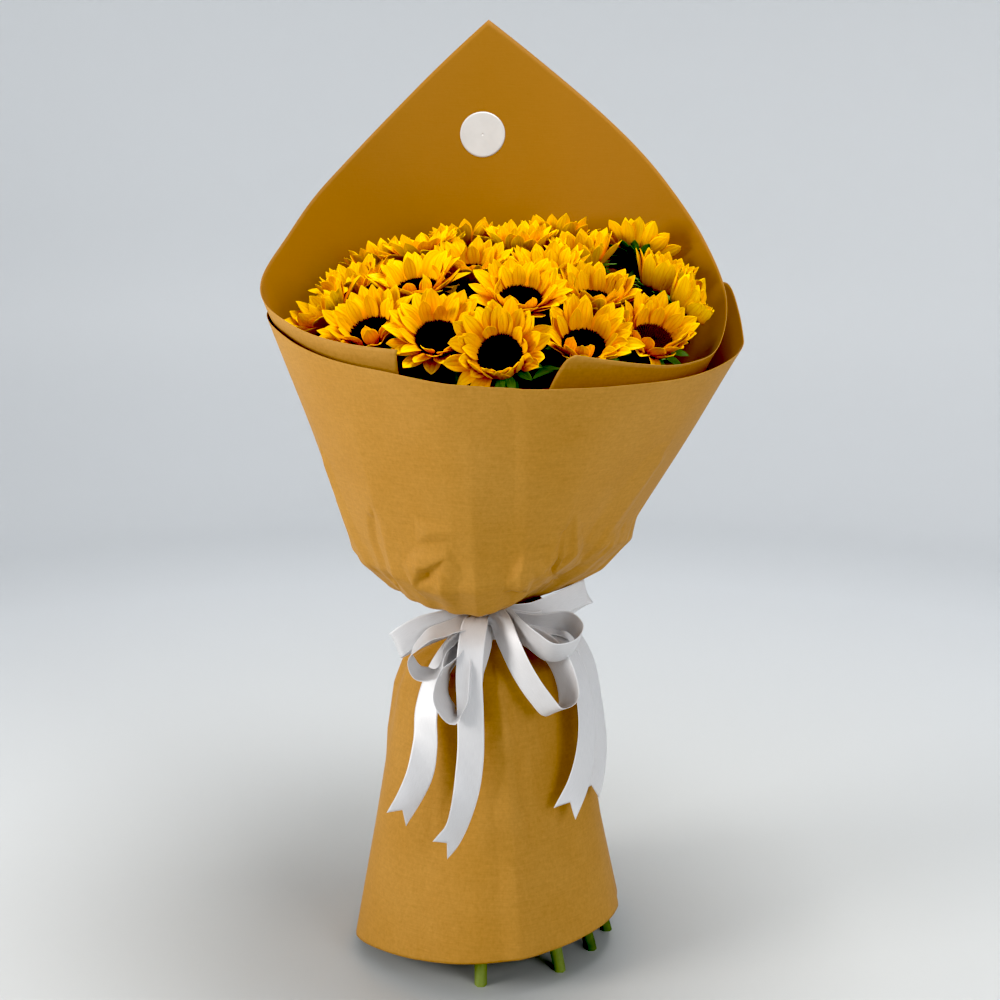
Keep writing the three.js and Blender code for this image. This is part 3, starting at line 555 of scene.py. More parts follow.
def facets(grid, corners, triangles):
    """Flat faces of folded paper: corners are (angle, height, push), joined by threes."""
    angle = np.degrees(np.arctan2(grid[..., 0], -grid[..., 1]))
    place = np.stack([angle, grid[..., 2]], -1)
    push = np.zeros(angle.shape)
    for names in triangles:
        a, b, c = [np.array(corners[name], float) for name in names]
        sides = np.linalg.inv(np.stack([b[:2] - a[:2], c[:2] - a[:2]], 1))
        share = (place - a[:2]) @ sides.T
        within = (share >= 0).all(-1) & (share.sum(-1) <= 1)
        push[within] = (a[2] + share @ [b[2] - a[2], c[2] - a[2]])[within]
    return push


def pleats(angles, count, seed):
    """Uneven gathers round the tie, from -1 to 1."""
    turn = np.radians(angles)
    drift = 0.9 * np.sin(3 * turn + seed) + 0.6 * np.sin(5 * turn + 2 * seed)
    wave = np.sin(count * turn + drift) + 0.5 * np.sin((count * 1.7) * turn - drift)
    return np.sign(wave) * np.abs(wave / 1.5) ** 0.8


def fade(values, start, stop):
    """A smooth step from 0 at start to 1 at stop."""
    t = np.clip((values - start) / (stop - start), 0, 1)
    return t * t * (3 - 2 * t)


print("pushes ready")


# %% Sheets of paper
BEND_SOFTNESS = 6.0  # mm over which a corner is rounded
FINE_POINTS = 500


def bent(points, count):
    """Straight runs between points, with each corner rounded over a few millimetres."""
    fine = evenly(points, FINE_POINTS)
    length = np.linalg.norm(np.diff(fine, axis=0), axis=1).sum()
    half = int(BEND_SOFTNESS / length * FINE_POINTS)
    padded = np.vstack([2 * fine[0] - fine[half:0:-1], fine, 2 * fine[-1] - fine[-2 : -half - 2 : -1]])
    kernel = np.hanning(2 * half + 3)[1:-1]
    smooth = [np.convolve(axis, kernel / kernel.sum(), "valid") for axis in padded.T]
    return evenly(np.stack(smooth, -1), count)


def sheet_grid(angles, profile, rows, shift=None):
    """A sheet: profile(angle) from foot to edge, in rows evenly spaced along it."""
    columns = []
    for angle in angles:
        line = bent(profile(angle), rows)
        turned = angle + (shift(angle, np.linspace(1, 0, rows)) if shift else 0)
        columns.append(about(turned, line[:, 0], line[:, 1]))
    return np.stack(columns, axis=1)


def on(grid, angle, height):
    """The grid point nearest to an angle and a height: where a crease is drawn from or to."""
    radius = np.hypot(grid[..., 0], grid[..., 1])
    place = about(angle, radius, height)
    return grid.reshape(-1, 3)[np.argmin(np.linalg.norm(grid - place, axis=-1))]


def lines_on(grid, rows):
    """Creases drawn as rows of (angle, height, ...) become points of the sheet."""
    return [np.array([on(grid, a, z) for a, z in row]) for row in rows]


def area_of(grid):
    """A grid's area in square metres."""
    diagonals = grid[1:, 1:] - grid[:-1, :-1], grid[1:, :-1] - grid[:-1, 1:]
    return float(np.linalg.norm(np.cross(*diagonals), axis=-1).sum() / 2 * MM**2)


def paper_piece(name, nodes, grid, flat):
    """A kraft sheet as a piece; flat is the width and length it was cut to, in metres."""
    shape = Shape()
    shape.add_grid(grid)
    piece = shape.finish(name, KRAFT, "kraft_paper", THICKNESS["paper"], nodes)
    area = area_of(grid)
    print(name, "area", round(area, 3), "of", round(flat[0] * flat[1], 3), "square metres")


def pushed(grid, heights):
    """The grid moved along its own normals."""
    return grid + normals_of(grid) * heights[..., None]


def settled(grid, angles, depth):
    """How far a wrapped sheet stands off its smooth form: slow waves, and gathers near the tie."""
    radius = np.hypot(grid[..., 0], grid[..., 1])
    waves = 2.6 * slow_noise(grid * (1, 1, 0.3), 75, 3) * fade(radius, 45, 110)
    gathered = fade(radius, 58, 85) * (1 - fade(radius, 95, 150))
    return waves + depth * pleats(angles, 19, 1.0) * gathered


def handled(grid, angles, seed):
    """Short creases where hands pressed the paper together above the tie."""
    draw = np.random.default_rng(seed)
    heights = np.zeros(grid.shape[:2])
    for angle in angles:
        low, high = draw.uniform(374, 392), draw.uniform(420, 480)
        row = [(angle, low), (angle + draw.uniform(-6, 6), (low + high) / 2), (angle, high)]
        heights += draw.uniform(-2.8, 2.8) * crease(grid, lines_on(grid, [row])[0], 14, 0.4)
    return heights


print("sheet tools ready")

# %% [markdown]
# ### Back sheet
#
# This is the big square sheet whose corner stands up behind the flowers. It runs all round
# the bunch except at the front, where its two ends lie as flaps inside the cup. The left
# flap ends upright; the right one is cut by the sheet's slanting side, so each point of it
# is turned forward the further it lies below the edge.

# %% Back sheet
BACK_ANGLES = np.concatenate(
    [np.linspace(BACK_ENDS[0], 180, 150), np.linspace(180, BACK_ENDS[1], 151)[1:]]
)
FLAP_FROM = {"right": 90, "left": 290}  # degrees, where each flap starts to slant
FLAP_SLANT = {"right": 19, "left": 5}  # degrees, at the foot of each flap's end


def back_profile(angle):
    bend, belly, edge = back_flare(angle)
    return [*pressed(BACK_NECK, BACK_PRESSED, angle), (bend + belly) / 2, belly, edge]


def back_slant(angle, low):
    slant = 0
    for side, end in zip(("right", "left"), BACK_ENDS):
        start = FLAP_FROM[side]
        slant = slant + FLAP_SLANT[side] * np.clip((angle - start) / (end - start), 0, 1)
    return -np.sqrt(low) * slant


back = sheet_grid(BACK_ANGLES, back_profile, 110, back_slant)
back_heights = settled(back, BACK_ANGLES, 3.0)
back_heights += handled(back, np.arange(118, 246, 11), 5)
near_bend = (1 - fade(back[..., 2], 400, 470)) * fade(back[..., 2], 350, 372)
back_heights += 1.2 * crumpled(back, 26, 2) * near_bend
back = pushed(back, back_heights)
paper_piece("paper_back", ["wrap_back"], back, (0.80, 0.72))

# %% [markdown]
# ### Cup sheet
#
# The front sheet's creases are read from the photograph one by one: an old fold straight
# down the middle, a soft valley left of it, and the dents of the hands that tied the bow.
# A crease is a height, a width and the way it takes as angle and height on the sheet. Where
# the hands pressed hardest the paper broke into small flat faces: each is a triangle
# between three corners, which are named by one sign so that three of them name a face.

# %% Cup sheet
CUP_START, FLAP_START, CUP_STOP = CUP_EDGE[0][0], CUP_FLAP[0][0], CUP_FLAP[-1][0]
CUP_ANGLES = np.concatenate(
    [np.linspace(CUP_START, FLAP_START, 290), np.linspace(FLAP_START, CUP_STOP, 38)[1:]]
)
CUP_CREASES = [  # height, width, how steep the other side is, and the way as angle and height
    (1.6, 34, 0.3, [(9, 585), (10, 544), (12, 478), (14, 418), (17, 377)]),
    (4.0, 70, 0.8, [(-9, 585), (-12, 534), (-11, 497), (-10, 459), (-12, 419), (-18, 374)]),
    (-3.4, 20, 0.4, [(-45, 448), (-48, 425), (-47, 403), (-49, 383)]),
    (-2.4, 16, 0.3, [(29, 442), (28, 425), (31, 399), (46, 380)]),
    (3.0, 26, 0.5, [(52, 402), (56, 440), (60, 500)]),
    (3.0, 24, 0.5, [(-62, 400), (-66, 430), (-68, 490)]),
]
# The corners, as angle, height and push in mm. Their places were read off the photograph;
# the pushes were chosen one by one and then all made larger by one factor.
CUP_CORNERS = {
    "a": (13.8, 429, 0), "b": (12.6, 411, 7.5), "c": (13.4, 390, 6.1), "d": (20, 381, 0),
    "e": (47, 377, 0), "f": (44, 388, 5.8), "g": (18, 410, 3.7), "h": (9, 408, 0),
    "i": (7, 386, 0), "j": (30, 402, 0), "k": (29, 442, 0), "l": (31.5, 460, 0),
    "m": (31, 399, 7.1), "n": (33, 416, 2.7), "o": (36, 422, 7.8), "p": (54, 394, 0),
    "q": (51, 384, 0), "r": (44, 424, 0), "s": (-25.7, 412, 8.8), "t": (-13, 426, 4.1),
    "u": (-22.7, 404, -1), "v": (-30, 392, 4.4), "w": (-25.6, 432, 0.7), "x": (-19, 449, 4.8),
    "y": (-9.4, 451, 0), "z": (-13, 440, 1), "1": (-34, 410, 0), "2": (-18, 390, 4.4),
    "3": (-32, 436, 0), "4": (-8, 404, 0), "5": (-28, 374, 0), "6": (-14, 372, 0),
    "7": (-24, 460, 0),
}
CUP_FACES = [
    "abh", "abg", "bcg", "bci", "bhi", "cdg", "dfg", "def", "agj", "gjf", "kln", "kmn", "kmj", "lno", "mno",
    "mop", "mpq", "lor", "opr", "stw", "stu", "suv", "sw1", "sv1", "tu2", "uv2", "tz4", "t24", "wxz", "wtz",
    "xyz", "zy4", "w31", "wx7", "w37", "xy7", "v25", "256", "246", "v15",
]
HANDLED = {(-22, 412): 34, (26, 415): 36, (60, 412): 26, (-80, 400): 26}  # place: reach in mm
CRUMPLE = {"depth": 2.2, "cell": 15}  # mm, of the crushed paper there


def cup_profile(angle):
    edge = cup_edge(angle) if angle <= FLAP_START else cup_flap(angle)
    neck = pressed(CUP_NECK, CUP_PRESSED, angle)
    return [*neck, (neck[-1] + edge) / 2, edge]


cup = sheet_grid(CUP_ANGLES, cup_profile, 150)
cup_heights = settled(cup, CUP_ANGLES, 1.1)
for height, width, steep, row in CUP_CREASES:
    cup_heights += height * crease(cup, lines_on(cup, [row])[0], width, steep)
cup_heights += handled(cup, np.array([-120, -108, -97, -86, -70, 52, 66, 78, 92, 104]), 8)
cup_heights += facets(cup, CUP_CORNERS, CUP_FACES)
for (angle, height), reach in HANDLED.items():
    crushed = CRUMPLE["depth"] * crumpled(cup, CRUMPLE["cell"], angle)
    cup_heights += crushed * near(cup, on(cup, angle, height), reach)
cup = pushed(cup, cup_heights)
paper_piece("paper_cup", ["wrap_cup"], cup, (0.78, 0.42))

# %% [markdown]
# ### Skirt
#
# The third sheet is wound once round the stems as a cone and laps over itself at the back.
# It is squeezed hard by the ribbon, so its gathers are deep there and run out below into
# two or three broad folds.

# %% Skirt
SKIRT_ANGLES = np.linspace(-190, 190, 380)
SKIRT_CREASES = [  # height, width, how steep the other side is, and the way as angle and height
    (-6.5, 24, 1.0, [(-1, 338), (4, 306), (7, 278), (10, 240)]),
    (-3.2, 30, 0.5, [(7, 280), (10, 240), (11, 199), (13, 135), (14, 30)]),
    (2.0, 12, 0.4, [(15, 262), (17, 220), (19, 175), (21, 140)]),
    (2.2, 50, 0.6, [(-33, 290), (-31, 240), (-30, 150), (-30, 60)]),
    (1.8, 50, 0.6, [(47, 290), (40, 240), (42, 150), (44, 60)]),
    (3.6, 34, 1.0, [(-89, 180), (-89, 100), (-89, 8)]),
    (3.0, 36, 0.6, [(88, 200), (88, 120), (88, 26)]),
    (3.4, 30, 0.5, [(122, 300), (120, 200), (124, 60)]),
    (-3.2, 26, 0.5, [(158, 300), (156, 210), (150, 80)]),
    (3.0, 26, 0.5, [(-118, 300), (-122, 210), (-124, 60)]),
    (-3.0, 24, 0.5, [(-158, 300), (-160, 200), (-156, 90)]),
]
LAP = 0.8  # mm by which the winding grows on each half turn
SQUEEZED_FROM = 331  # mm up, the height below which its gathers and folds grow


def skirt_profile(angle):
    rows = np.array([skirt_top(angle), *SKIRT_BODY, skirt_hem(angle)])
    rows[:, 0] += LAP * angle / 180
    return rows


skirt = sheet_grid(SKIRT_ANGLES, skirt_profile, 130)
below_tie = SQUEEZED_FROM - skirt[..., 2]
gathered = 0.5 + 0.5 * fade(np.abs(SKIRT_ANGLES), 60, 110)
squeezed = fade(below_tie, 8, 38) * (1 - fade(below_tie, 40, 150))
skirt_heights = 2.6 * pleats(SKIRT_ANGLES, 13, 4.0) * gathered * squeezed
skirt_heights += 1.8 * slow_noise(skirt * (1, 1, 0.35), 80, 7) * fade(below_tie, 30, 90)
for height, width, steep, row in SKIRT_CREASES:
    skirt_heights += height * crease(skirt, lines_on(skirt, [row])[0], width, steep) * fade(below_tie, 4, 26)
skirt = pushed(skirt, skirt_heights)
paper_piece("paper_skirt", ["wrap_skirt"], skirt, (0.74, 0.40))

# %% [markdown]
# ## The label
#
# A plain round sticker on the inside of the back sheet's point. It has to follow the paper,
# so its points are found on the finished sheet and lifted off by less than half a
# millimetre.

# %% Label
LABEL_AT = (181.6, 810)  # angle and height of its middle
LABEL_RADIUS = 25.0
LABEL_LIFT = 0.42
LABEL_FROM_TIE = 240  # mm, about how far the paper is from the tie's axis there


def back_surface(angle, height):
    """The finished back sheet's radius at an angle and a height above its belly."""
    place = np.interp(angle, BACK_ANGLES, np.arange(len(BACK_ANGLES)))
    k = int(place)
    upper = back[40:, k : k + 2]
    radii = [np.interp(height, upper[:, c, 2], np.hypot(upper[:, c, 0], upper[:, c, 1])) for c in (0, 1)]
    return radii[0] + (place - k) * (radii[1] - radii[0])


def label_paper():
    paint = Paint("label_paper", Specular_IOR_Level=0.5)
    fibres = paint.noise(paint.place(700, 700, 700), detail=2.0)
    clouds = paint.noise(paint.place(60, 60, 60), detail=3.0)
    white = paint.ramp(clouds, (0.3, (0.49, 0.475, 0.45)), (0.7, (0.53, 0.515, 0.49)))
    return paint.finish(
        Base_Color=white,
        Roughness=0.34 + fibres * 0.12,
        Normal=paint.bump(fibres, 0.00008, 0.25),
    )


def round_label():
    shape = Shape()
    rings, spokes = 14, 72
    middle = about(LABEL_AT[0], 1.0, 0.0)
    points = []
    for ring in np.linspace(0.002, 1, rings):
        for turn in np.linspace(0, 2 * np.pi, spokes, endpoint=False):
            height = LABEL_AT[1] + LABEL_RADIUS * ring * np.sin(turn)
            side = LABEL_RADIUS * ring * np.cos(turn)
            angle = LABEL_AT[0] + np.degrees(side / LABEL_FROM_TIE)
            points.append(about(angle, back_surface(angle, height), height) - middle * LABEL_LIFT)
    shape.add_grid(np.array(points).reshape(rings, spokes, 3), closed=True)
    return shape.finish("round_label", label_paper(), "label_paper", THICKNESS["label"], ["label"])


label = round_label()
print("label points:", len(label.data.vertices))

# %% [markdown]
# ## Satin ribbon
#
# Satin looks the way it does because its threads run along the ribbon and lie flat: it is
# smooth and glossy, with hair-fine lines lengthwise and a matt woven edge. The threads are
# drawn in the ribbon's own directions, along and across, which its mesh carries.


# %% Satin
def satin_ribbon():
    paint = Paint("satin_ribbon", Specular_IOR_Level=0.5, Metallic=0.2, Sheen_Weight=0.1, Sheen_Roughness=0.4)
    along, across = paint.attribute("along"), paint.attribute("across")
    threads = paint.noise(paint.vector(along * 1.2, across * 55, 0.0), detail=2.0)
    weave = paint.noise(paint.vector(along * 90, across * 30, 4.0), detail=1.0)
    selvedge = across.math("ABSOLUTE", across).between(0.88, 0.93)
    white = paint.ramp(threads, (0.3, (0.64, 0.63, 0.63)), (0.7, (0.72, 0.71, 0.71)))
    colour = paint.mix(selvedge * 0.6, white, (0.82, 0.81, 0.81))
    height = threads * 0.5 + weave * 0.3 + selvedge * 0.8
    return paint.finish(
        Base_Color=colour,
        Roughness=0.42 + threads * 0.1 + selvedge * 0.2,
        Normal=paint.bump(height, 0.00012, 0.4),
    )


SATIN = satin_ribbon()
print("made", SATIN.name)

# %% [markdown]
# ## The bow
#
# A bow is one long ribbon, but it is easier to draw as loops and tails that all start in
# the knot. A route is a few listed points, with a smooth curve through them. On a
# loop the ribbon keeps one direction across; on a tail it lies flat against the skirt and
# may twist towards its end. Where it goes into the knot it is squeezed into small folds.
# Loops 1 and 3 and tails 3 and 4 keep the solids' points. The knot is smaller here and
# sits 14 mm higher, and the other routes leave it from there, the sixth loop higher all round.

# %% Routes of the bow
RIBBON = 25.0
PINCHED = 19.0
KNOT_MIDDLE = np.array([-5, -49.0, 345])
KNOT_RADII = (11, 5.2, 4.6)
KNOT_REACH = 6.5  # mm from its middle, where routes start and end
STRIP_FOLD, STRIP_CURL = 1.1, 0.9  # mm, of the folds in the knot and the curl outside it
BAND_START, BAND_SWEEP = -20, 450  # degrees: a turn and a quarter
LOOPS = [
    ([-0.35, 0, 0.94], [[-37, -66, 341], [-65, -73, 335], [-85, -72, 321], [-82, -57, 317], [-55, -47, 327]]),
    ([0.15, 1, 0.25], [[-22, -72, 342], [-38, -82, 339], [-55, -91, 334], [-70, -98, 318],
                       [-64, -100, 303], [-47, -96, 303], [-37, -84, 320], [-22, -63, 334]]),
    ([0.5, 0.85, 0.15], [[-18, -84, 321], [-38, -99, 302], [-42, -106, 280], [-28, -107, 263],
                         [-14, -104, 276], [-9, -97, 305], [-4, -74, 328]]),
    ([0.72, -0.5, 0.45], [[9, -62, 346], [20, -84, 328], [33, -100, 305], [49, -108, 282], [62, -108, 268],
                         [76, -98, 274], [72, -86, 300], [56, -72, 320], [28, -62, 332]]),
    ([0.23, -0.48, 0.85], [[16, -62, 347], [29, -78, 339], [42, -92, 332], [60, -97, 321], [80, -88, 322],
                           [88, -72, 331], [77, -58, 339], [45, -54, 336]]),
    ([-0.3, -0.2, 0.93], [[40, -50, 344], [68, -32, 349], [90, -14, 354], [98, -2, 354], [92, 4, 348],
                          [72, -14, 340], [50, -46, 334]]),
]
# Each tail: the twist at its end in degrees, the depth of its fishtail cut in mm, and its route.
TAILS = [
    (-62, 9, [[-10, -74, 346], [-14, -97, 328], [-16, -105, 300], [-15, -109, 270],
               [-15, -113, 225], [-21, -121, 185], [-30, -131, 160], [-42, -141, 148]]),
    (-66, 10, [[-24, -66, 325], [-45, -80, 298], [-56, -94, 266], [-57, -102, 235], [-62, -107, 208],
               [-71, -113, 188], [-83, -123, 170]]),
    (18, 12, [[40, -60, 331], [70, -60, 322], [85, -66, 298], [93, -74, 262], [94, -81, 225],
              [87, -89, 192], [73, -101, 166]]),
    (30, 10, [[48, -52, 334], [80, -44, 324], [97, -44, 298], [106, -48, 255], [108, -53, 215],
              [103, -58, 185], [98, -62, 168]]),
]


# %% A strip of ribbon
def turned_about(vectors, axes, degrees):
    """Vectors turned about axes that are square to them."""
    turn = np.radians(degrees)[:, None]
    return vectors * np.cos(turn) + np.cross(axes, vectors) * np.sin(turn)


def ribbon_strip(route, across=None, loop=False, twist=0.0, cut=0.0, seed=0):
    """A ribbon's grid along a route from the knot, how far each point is along it, and its length."""
    stations, columns = 90, 15
    start, end = [KNOT_MIDDLE + KNOT_REACH * unit(np.array(route[k]) - KNOT_MIDDLE) for k in (0, -1)]
    spine = through([start, *route, end] if loop else [start, *route], stations)
    along = unit(np.gradient(spine, axis=0))
    outward = unit(spine * (1, 1, 0))
    sideways = np.cross((0, 0, -1), outward)
    wide = sideways if across is None else np.broadcast_to(np.array(across, float), spine.shape)
    wide = unit(wide - np.sum(wide * along, axis=1, keepdims=True) * along)
    share = np.linspace(0, 1, stations)
    wide = turned_about(wide, along, twist * fade(share, 0.55, 1.0))
    thick = np.cross(along, wide)
    from_knot = np.minimum(share, 1 - share) if loop else share
    opened = fade(from_knot, 0.0, 0.13)
    a = np.linspace(-1, 1, columns)
    width = PINCHED + (RIBBON - PINCHED) * opened
    folds = (1 - opened)[:, None] * STRIP_FOLD * np.sin(2.5 * np.pi * a + seed)
    curl = STRIP_CURL * opened[:, None] * (a**2 - 0.4) * np.sin(4 * np.pi * share + seed)[:, None]
    grid = spine[:, None] + wide[:, None] * (width[:, None] / 2 * a)[..., None]
    grid = grid + thick[:, None] * (folds + curl)[..., None]
    length = np.linalg.norm(np.diff(spine, axis=0), axis=1).sum()
    if cut:
        reach = share[:, None] * (1 - cut / length * (1 - np.abs(a))) * (stations - 1)
        low = np.minimum(reach.astype(int), stations - 2)
        part = (reach - low)[..., None]
        column = np.broadcast_to(np.arange(columns), low.shape)
        grid = grid[low, column] * (1 - part) + grid[low + 1, column] * part
    return grid, np.repeat(share * length / 10, columns), length


def ribbon_piece(name, grid, along, length, nodes, rests_on):
    shape = Shape()
    rows, columns = grid.shape[:2]
    shape.add(grid, grid_faces(rows, columns), along, np.tile(np.linspace(-1, 1, columns), rows))
    piece = shape.finish(name, SATIN, "satin_ribbon", THICKNESS["ribbon"], nodes)
    length * MM


# %% Loops, tails, knot and band
lengths = {}
for k, (across, route) in enumerate(LOOPS, 1):
    name = f"satin_loop_{k}"
    *strip, lengths[name] = ribbon_strip(route, across, loop=True, seed=k)
    ribbon_piece(name, *strip, lengths[name], ["ribbon_bow"], ["satin_knot"])
for k, (twist, cut, route) in enumerate(TAILS, 1):
    name = f"satin_tail_{k}"
    *strip, lengths[name] = ribbon_strip(route, twist=twist, cut=cut, seed=k + 7)
    ribbon_piece(name, *strip, lengths[name], ["ribbon_bow"], ["satin_knot"])


def satin_knot():
    """The turn of ribbon that holds the bow: a short drum, squeezed into folds."""
    turn, a = np.linspace(0, 2 * np.pi, 61)[:, None], np.linspace(-1, 1, 25)[None, :]
    swell = np.sqrt(1 - 0.62 * a**2) + 0.07 * np.sin(4.5 * np.pi * a + 1.4 * np.sin(turn))
    x = KNOT_RADII[0] * 0.86 * a + 0.8 * np.sin(2 * turn)
    y, z = KNOT_RADII[1] * swell * np.cos(turn), KNOT_RADII[2] * swell * np.sin(turn)
    grid = KNOT_MIDDLE + joined(x, y, z)
    around = np.linalg.norm(np.diff(grid[:, 12], axis=0), axis=1).sum()
    return grid, np.repeat(turn[:, 0] / (2 * np.pi) * around / 10, 25), around


def satin_band():
    """The ribbon round the tie: a turn and a quarter, wound a little askew, with soft gathers."""
    turn = np.linspace(BAND_START, BAND_START + BAND_SWEEP, 300)[:, None]
    a = np.linspace(-1, 1, 21)[None, :]
    middle = (band_low.z + band_high.z) / 2 / MM
    wound = 41.25 + 0.55 * (turn - BAND_START) / BAND_SWEEP
    radius = wound + 0.2 * np.sin(3 * np.pi * a + np.radians(turn) * 2)
    height = middle + (RIBBON / 2 - 0.4) * a + 0.35 * np.sin(np.radians(turn) + 0.5)
    grid = about(turn, radius, height)
    around = 41.5 * math.radians(BAND_SWEEP)
    return grid, np.repeat(np.radians(turn[:, 0]) * 4.15, 21), around


ribbon_piece("satin_knot", *satin_knot(), ["ribbon_bow"], ["satin_band"])
ribbon_piece("satin_band", *satin_band(), ["ribbon_band"], ["paper_skirt"])
print("ribbon lengths in mm:", {name: round(length) for name, length in lengths.items()})

# %% [markdown]
# ## Where the flowers are
#
# The solids hold each flower's place, so nothing is placed twice. A disc is flat and round:
# the direction in which its points spread least is the way that the flower faces, and its
# lowest ring is the middle of the bloom. How far the petals stand up is read from the outer
# parts of its petals. Each flower also knows its neighbours, to share the space between them.

# %% Blooms
BLOOMS = range(1, 25)
DISC_RADIUS = 18.0
SOLID_PETALS = {"root": 20, "outer": 22, "share": 35}  # mm, mm beyond the root, per cent
USUAL_PAPER_ROOM = 9  # mm before the paper at which a flower's share of the space ends
PAPER_ROOM = {15: 24, 18: 18}  # the same, for flowers pressed against the paper


def points_of(node):
    """A solid's corner points, each once, in millimetres round the tie."""
    corners = np.array([v.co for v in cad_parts[node].data.vertices])
    return np.unique(((corners - TIE) / MM).round(2), axis=0)


class Bloom:
    """A flower's own frame: its origin is under the disc and it faces its own +Z."""

    def __init__(self, number):
        self.number = number
        disc = points_of(f"disc_{number:02d}")
        facing = np.linalg.svd(disc - disc.mean(0))[2][2]
        facing = facing * np.sign(facing[2])
        depth = disc @ facing
        self.at = disc[depth < depth.min() + 0.3].mean(0)
        self.facing = facing
        self.axes = np.array(Vector(facing).to_track_quat("Z", "Y").to_matrix())
        rays = (points_of(f"petals_{number:02d}") - self.at) @ self.axes
        out = np.hypot(rays[:, 0], rays[:, 1]) - SOLID_PETALS["root"]
        far = np.hypot(out, rays[:, 2]) > SOLID_PETALS["outer"]
        lifts = np.degrees(np.arctan2(rays[far, 2], out[far]))
        self.lift = float(np.percentile(lifts, SOLID_PETALS["share"]))

    def place(self, points):
        """Points of the flower's frame, set in the bunch."""
        return points @ self.axes.T + self.at

    def room(self, points):
        """How far points lie inside the flower's share of the space; below 0 is outside."""
        away = np.array([other.at for other in blooms if other is not self]) - self.at
        distance = np.linalg.norm(away, axis=1)
        shared = distance / 2 - (points - self.at) @ (away / distance[:, None]).T
        to_paper = [
            back_radius(math.degrees(math.atan2(x, -y)), z) - math.hypot(x, y) for x, y, z in points
        ]
        return min(shared.min(), min(to_paper) - PAPER_ROOM.get(self.number, USUAL_PAPER_ROOM))


blooms = [Bloom(number) for number in BLOOMS]
print("petals stand at", [round(bloom.lift) for bloom in blooms], "degrees")

# %% [markdown]
# ## Ray petals
#
# A sunflower's ray petal is a long oval blade, pressed into a few lengthwise grooves, a
# little hollow across, and bent along its length; no two are alike. One formula makes all
# of them from a handful of seeded draws. They stand in three rings, the inner ones shorter
# and steeper. Where a neighbour or the paper is in the way a petal stands up, as it does in
# a tight bunch, and is shorter only as a last resort.

# %% One petal
PETAL_ROWS, PETAL_COLUMNS = 12, 11
PETAL_RINGS = [
    {"count": 16, "root": 19.0, "base": -1.7, "steeper": -5, "length": 34, "width": 15.4},
    {"count": 14, "root": 18.4, "base": -0.9, "steeper": 9, "length": 32, "width": 14.6},
    {"count": 11, "root": 17.8, "base": -0.2, "steeper": 24, "length": 26, "width": 12.6},
]
MOST_UPRIGHT = 84
USUALLY_CURLED = 0.06  # the share of a flower's petals that have curled up
CURLED = {11: 0.22, 7: 0.15}  # the same, where it is more
STEEPER = {15: 26, 18: 18}  # degrees, where a flower is pressed against the paper
NEAR_RAISED = {14: 14, 16: 5, 10: 12, 13: 8, 9: 4, 7: 10}  # degrees more, on the front side
PETAL_ROOM = {"neighbour": -3.0, "shortest": 17.0}  # mm over the shared border; mm long
RAISE_BY, SHORTEN_TO = 4, 0.93  # degrees, and a share of the length, each time it has no room
LOOSE = {"place": 0.28, "lift": 11, "bend": 30, "twist": 22, "sway": 0.1}  # at most, either way


def petal_width(v):
    """The half width along a petal, 1 at its widest."""
    rising = 0.42 + 0.58 * np.sin(np.pi / 2 * np.minimum(v / 0.5, 1))
    falling = 1 - np.clip((v - 0.5) / 0.5, 0, 1) ** 2.7
    return np.maximum(rising * falling, 0.035)


def petal(ring, length, lift, bend, twist, sway, ruffle):
    """One petal along its flower's +X, as a grid."""
    t = np.linspace(0, 1, PETAL_ROWS)
    v = (1 - (1 - t) ** 1.25)[:, None]
    a = np.linspace(-1, 1, PETAL_COLUMNS)[None, :]
    slope = np.radians(lift + bend * v**1.4)
    step = np.diff(v, axis=0, prepend=0) * length
    x = ring["root"] + np.cumsum(np.cos(slope) * step, axis=0)
    z = ring["base"] + np.cumsum(np.sin(slope) * step, axis=0)
    half = ring["width"] / 2 * petal_width(v)
    hollow = half * 0.36 * (a**2 - 0.4) * (1 - 0.5 * v)
    grooves = 0.55 * np.cos(3.5 * np.pi * a) * np.sin(np.pi * np.clip(v * 1.05, 0, 1))
    waves = ruffle * a**2 * np.sin(7 * v + 3 * a + 9 * sway) * v
    turn = np.radians(twist) * v**1.2
    y = half * a * np.cos(turn) + sway * length * v**2
    off = half * a * np.sin(turn) + hollow + grooves + waves
    return joined(x - np.sin(slope) * off, y, z + np.cos(slope) * off)


def turned(points, degrees):
    """Points turned about the flower's own axis."""
    c, s = math.cos(math.radians(degrees)), math.sin(math.radians(degrees))
    return points @ np.array([[c, s, 0], [-s, c, 0], [0, 0, 1]])


# %% All petals of a bloom
def petal_paint():
    paint = Paint("petal_gold", Specular_IOR_Level=0.12)
    along, across, tone = [paint.attribute(name) for name in ("along", "across", "tone")]
    # Painted shade: the gold deepens to an orange brown over the fifth of each petal nearest the disc, where
    # the petals crowd.
    gold_with_root_shade = paint.ramp(
        along,
        (0.0, (0.62, 0.17, 0.002)),
        (0.2, (0.92, 0.43, 0.004)),
        (0.55, (0.97, 0.59, 0.008)),
        (1.0, (0.98, 0.65, 0.014)),
    )
    streaks = paint.noise(paint.vector(along * 2.5, across * 9, tone * 40), detail=3.0)
    veins = paint.noise(paint.vector(along * 1.5, across * 26, tone * 70), detail=2.0)
    streaked = paint.mix(streaks.between(0.5, 0.75) * 0.55, gold_with_root_shade, (0.90, 0.36, 0.002))
    # Painted shade: the bottoms of the lengthwise grooves are painted a deeper orange, from near the root to
    # the tip.
    groove_shade = across.math("SINE", across * -11 - 1.57).between(0.3, 1.0) * along.between(0.05, 0.4)
    groove_shaded = paint.mix(groove_shade * 0.45, streaked, (0.78, 0.28, 0.002))
    deeper = paint.mix(tone * 0.4, groove_shaded, (0.93, 0.44, 0.003))
    colour = paint.mix(veins.between(0.5, 0.75) * 0.4, deeper, (0.70, 0.22, 0.001))
    return paint.finish(
        Base_Color=colour,
        Roughness=0.5 + streaks * 0.15,
        Normal=paint.bump(veins * 0.7 + streaks * 0.3, 0.0004, 0.5),
    )


PETAL_GOLD = petal_paint()


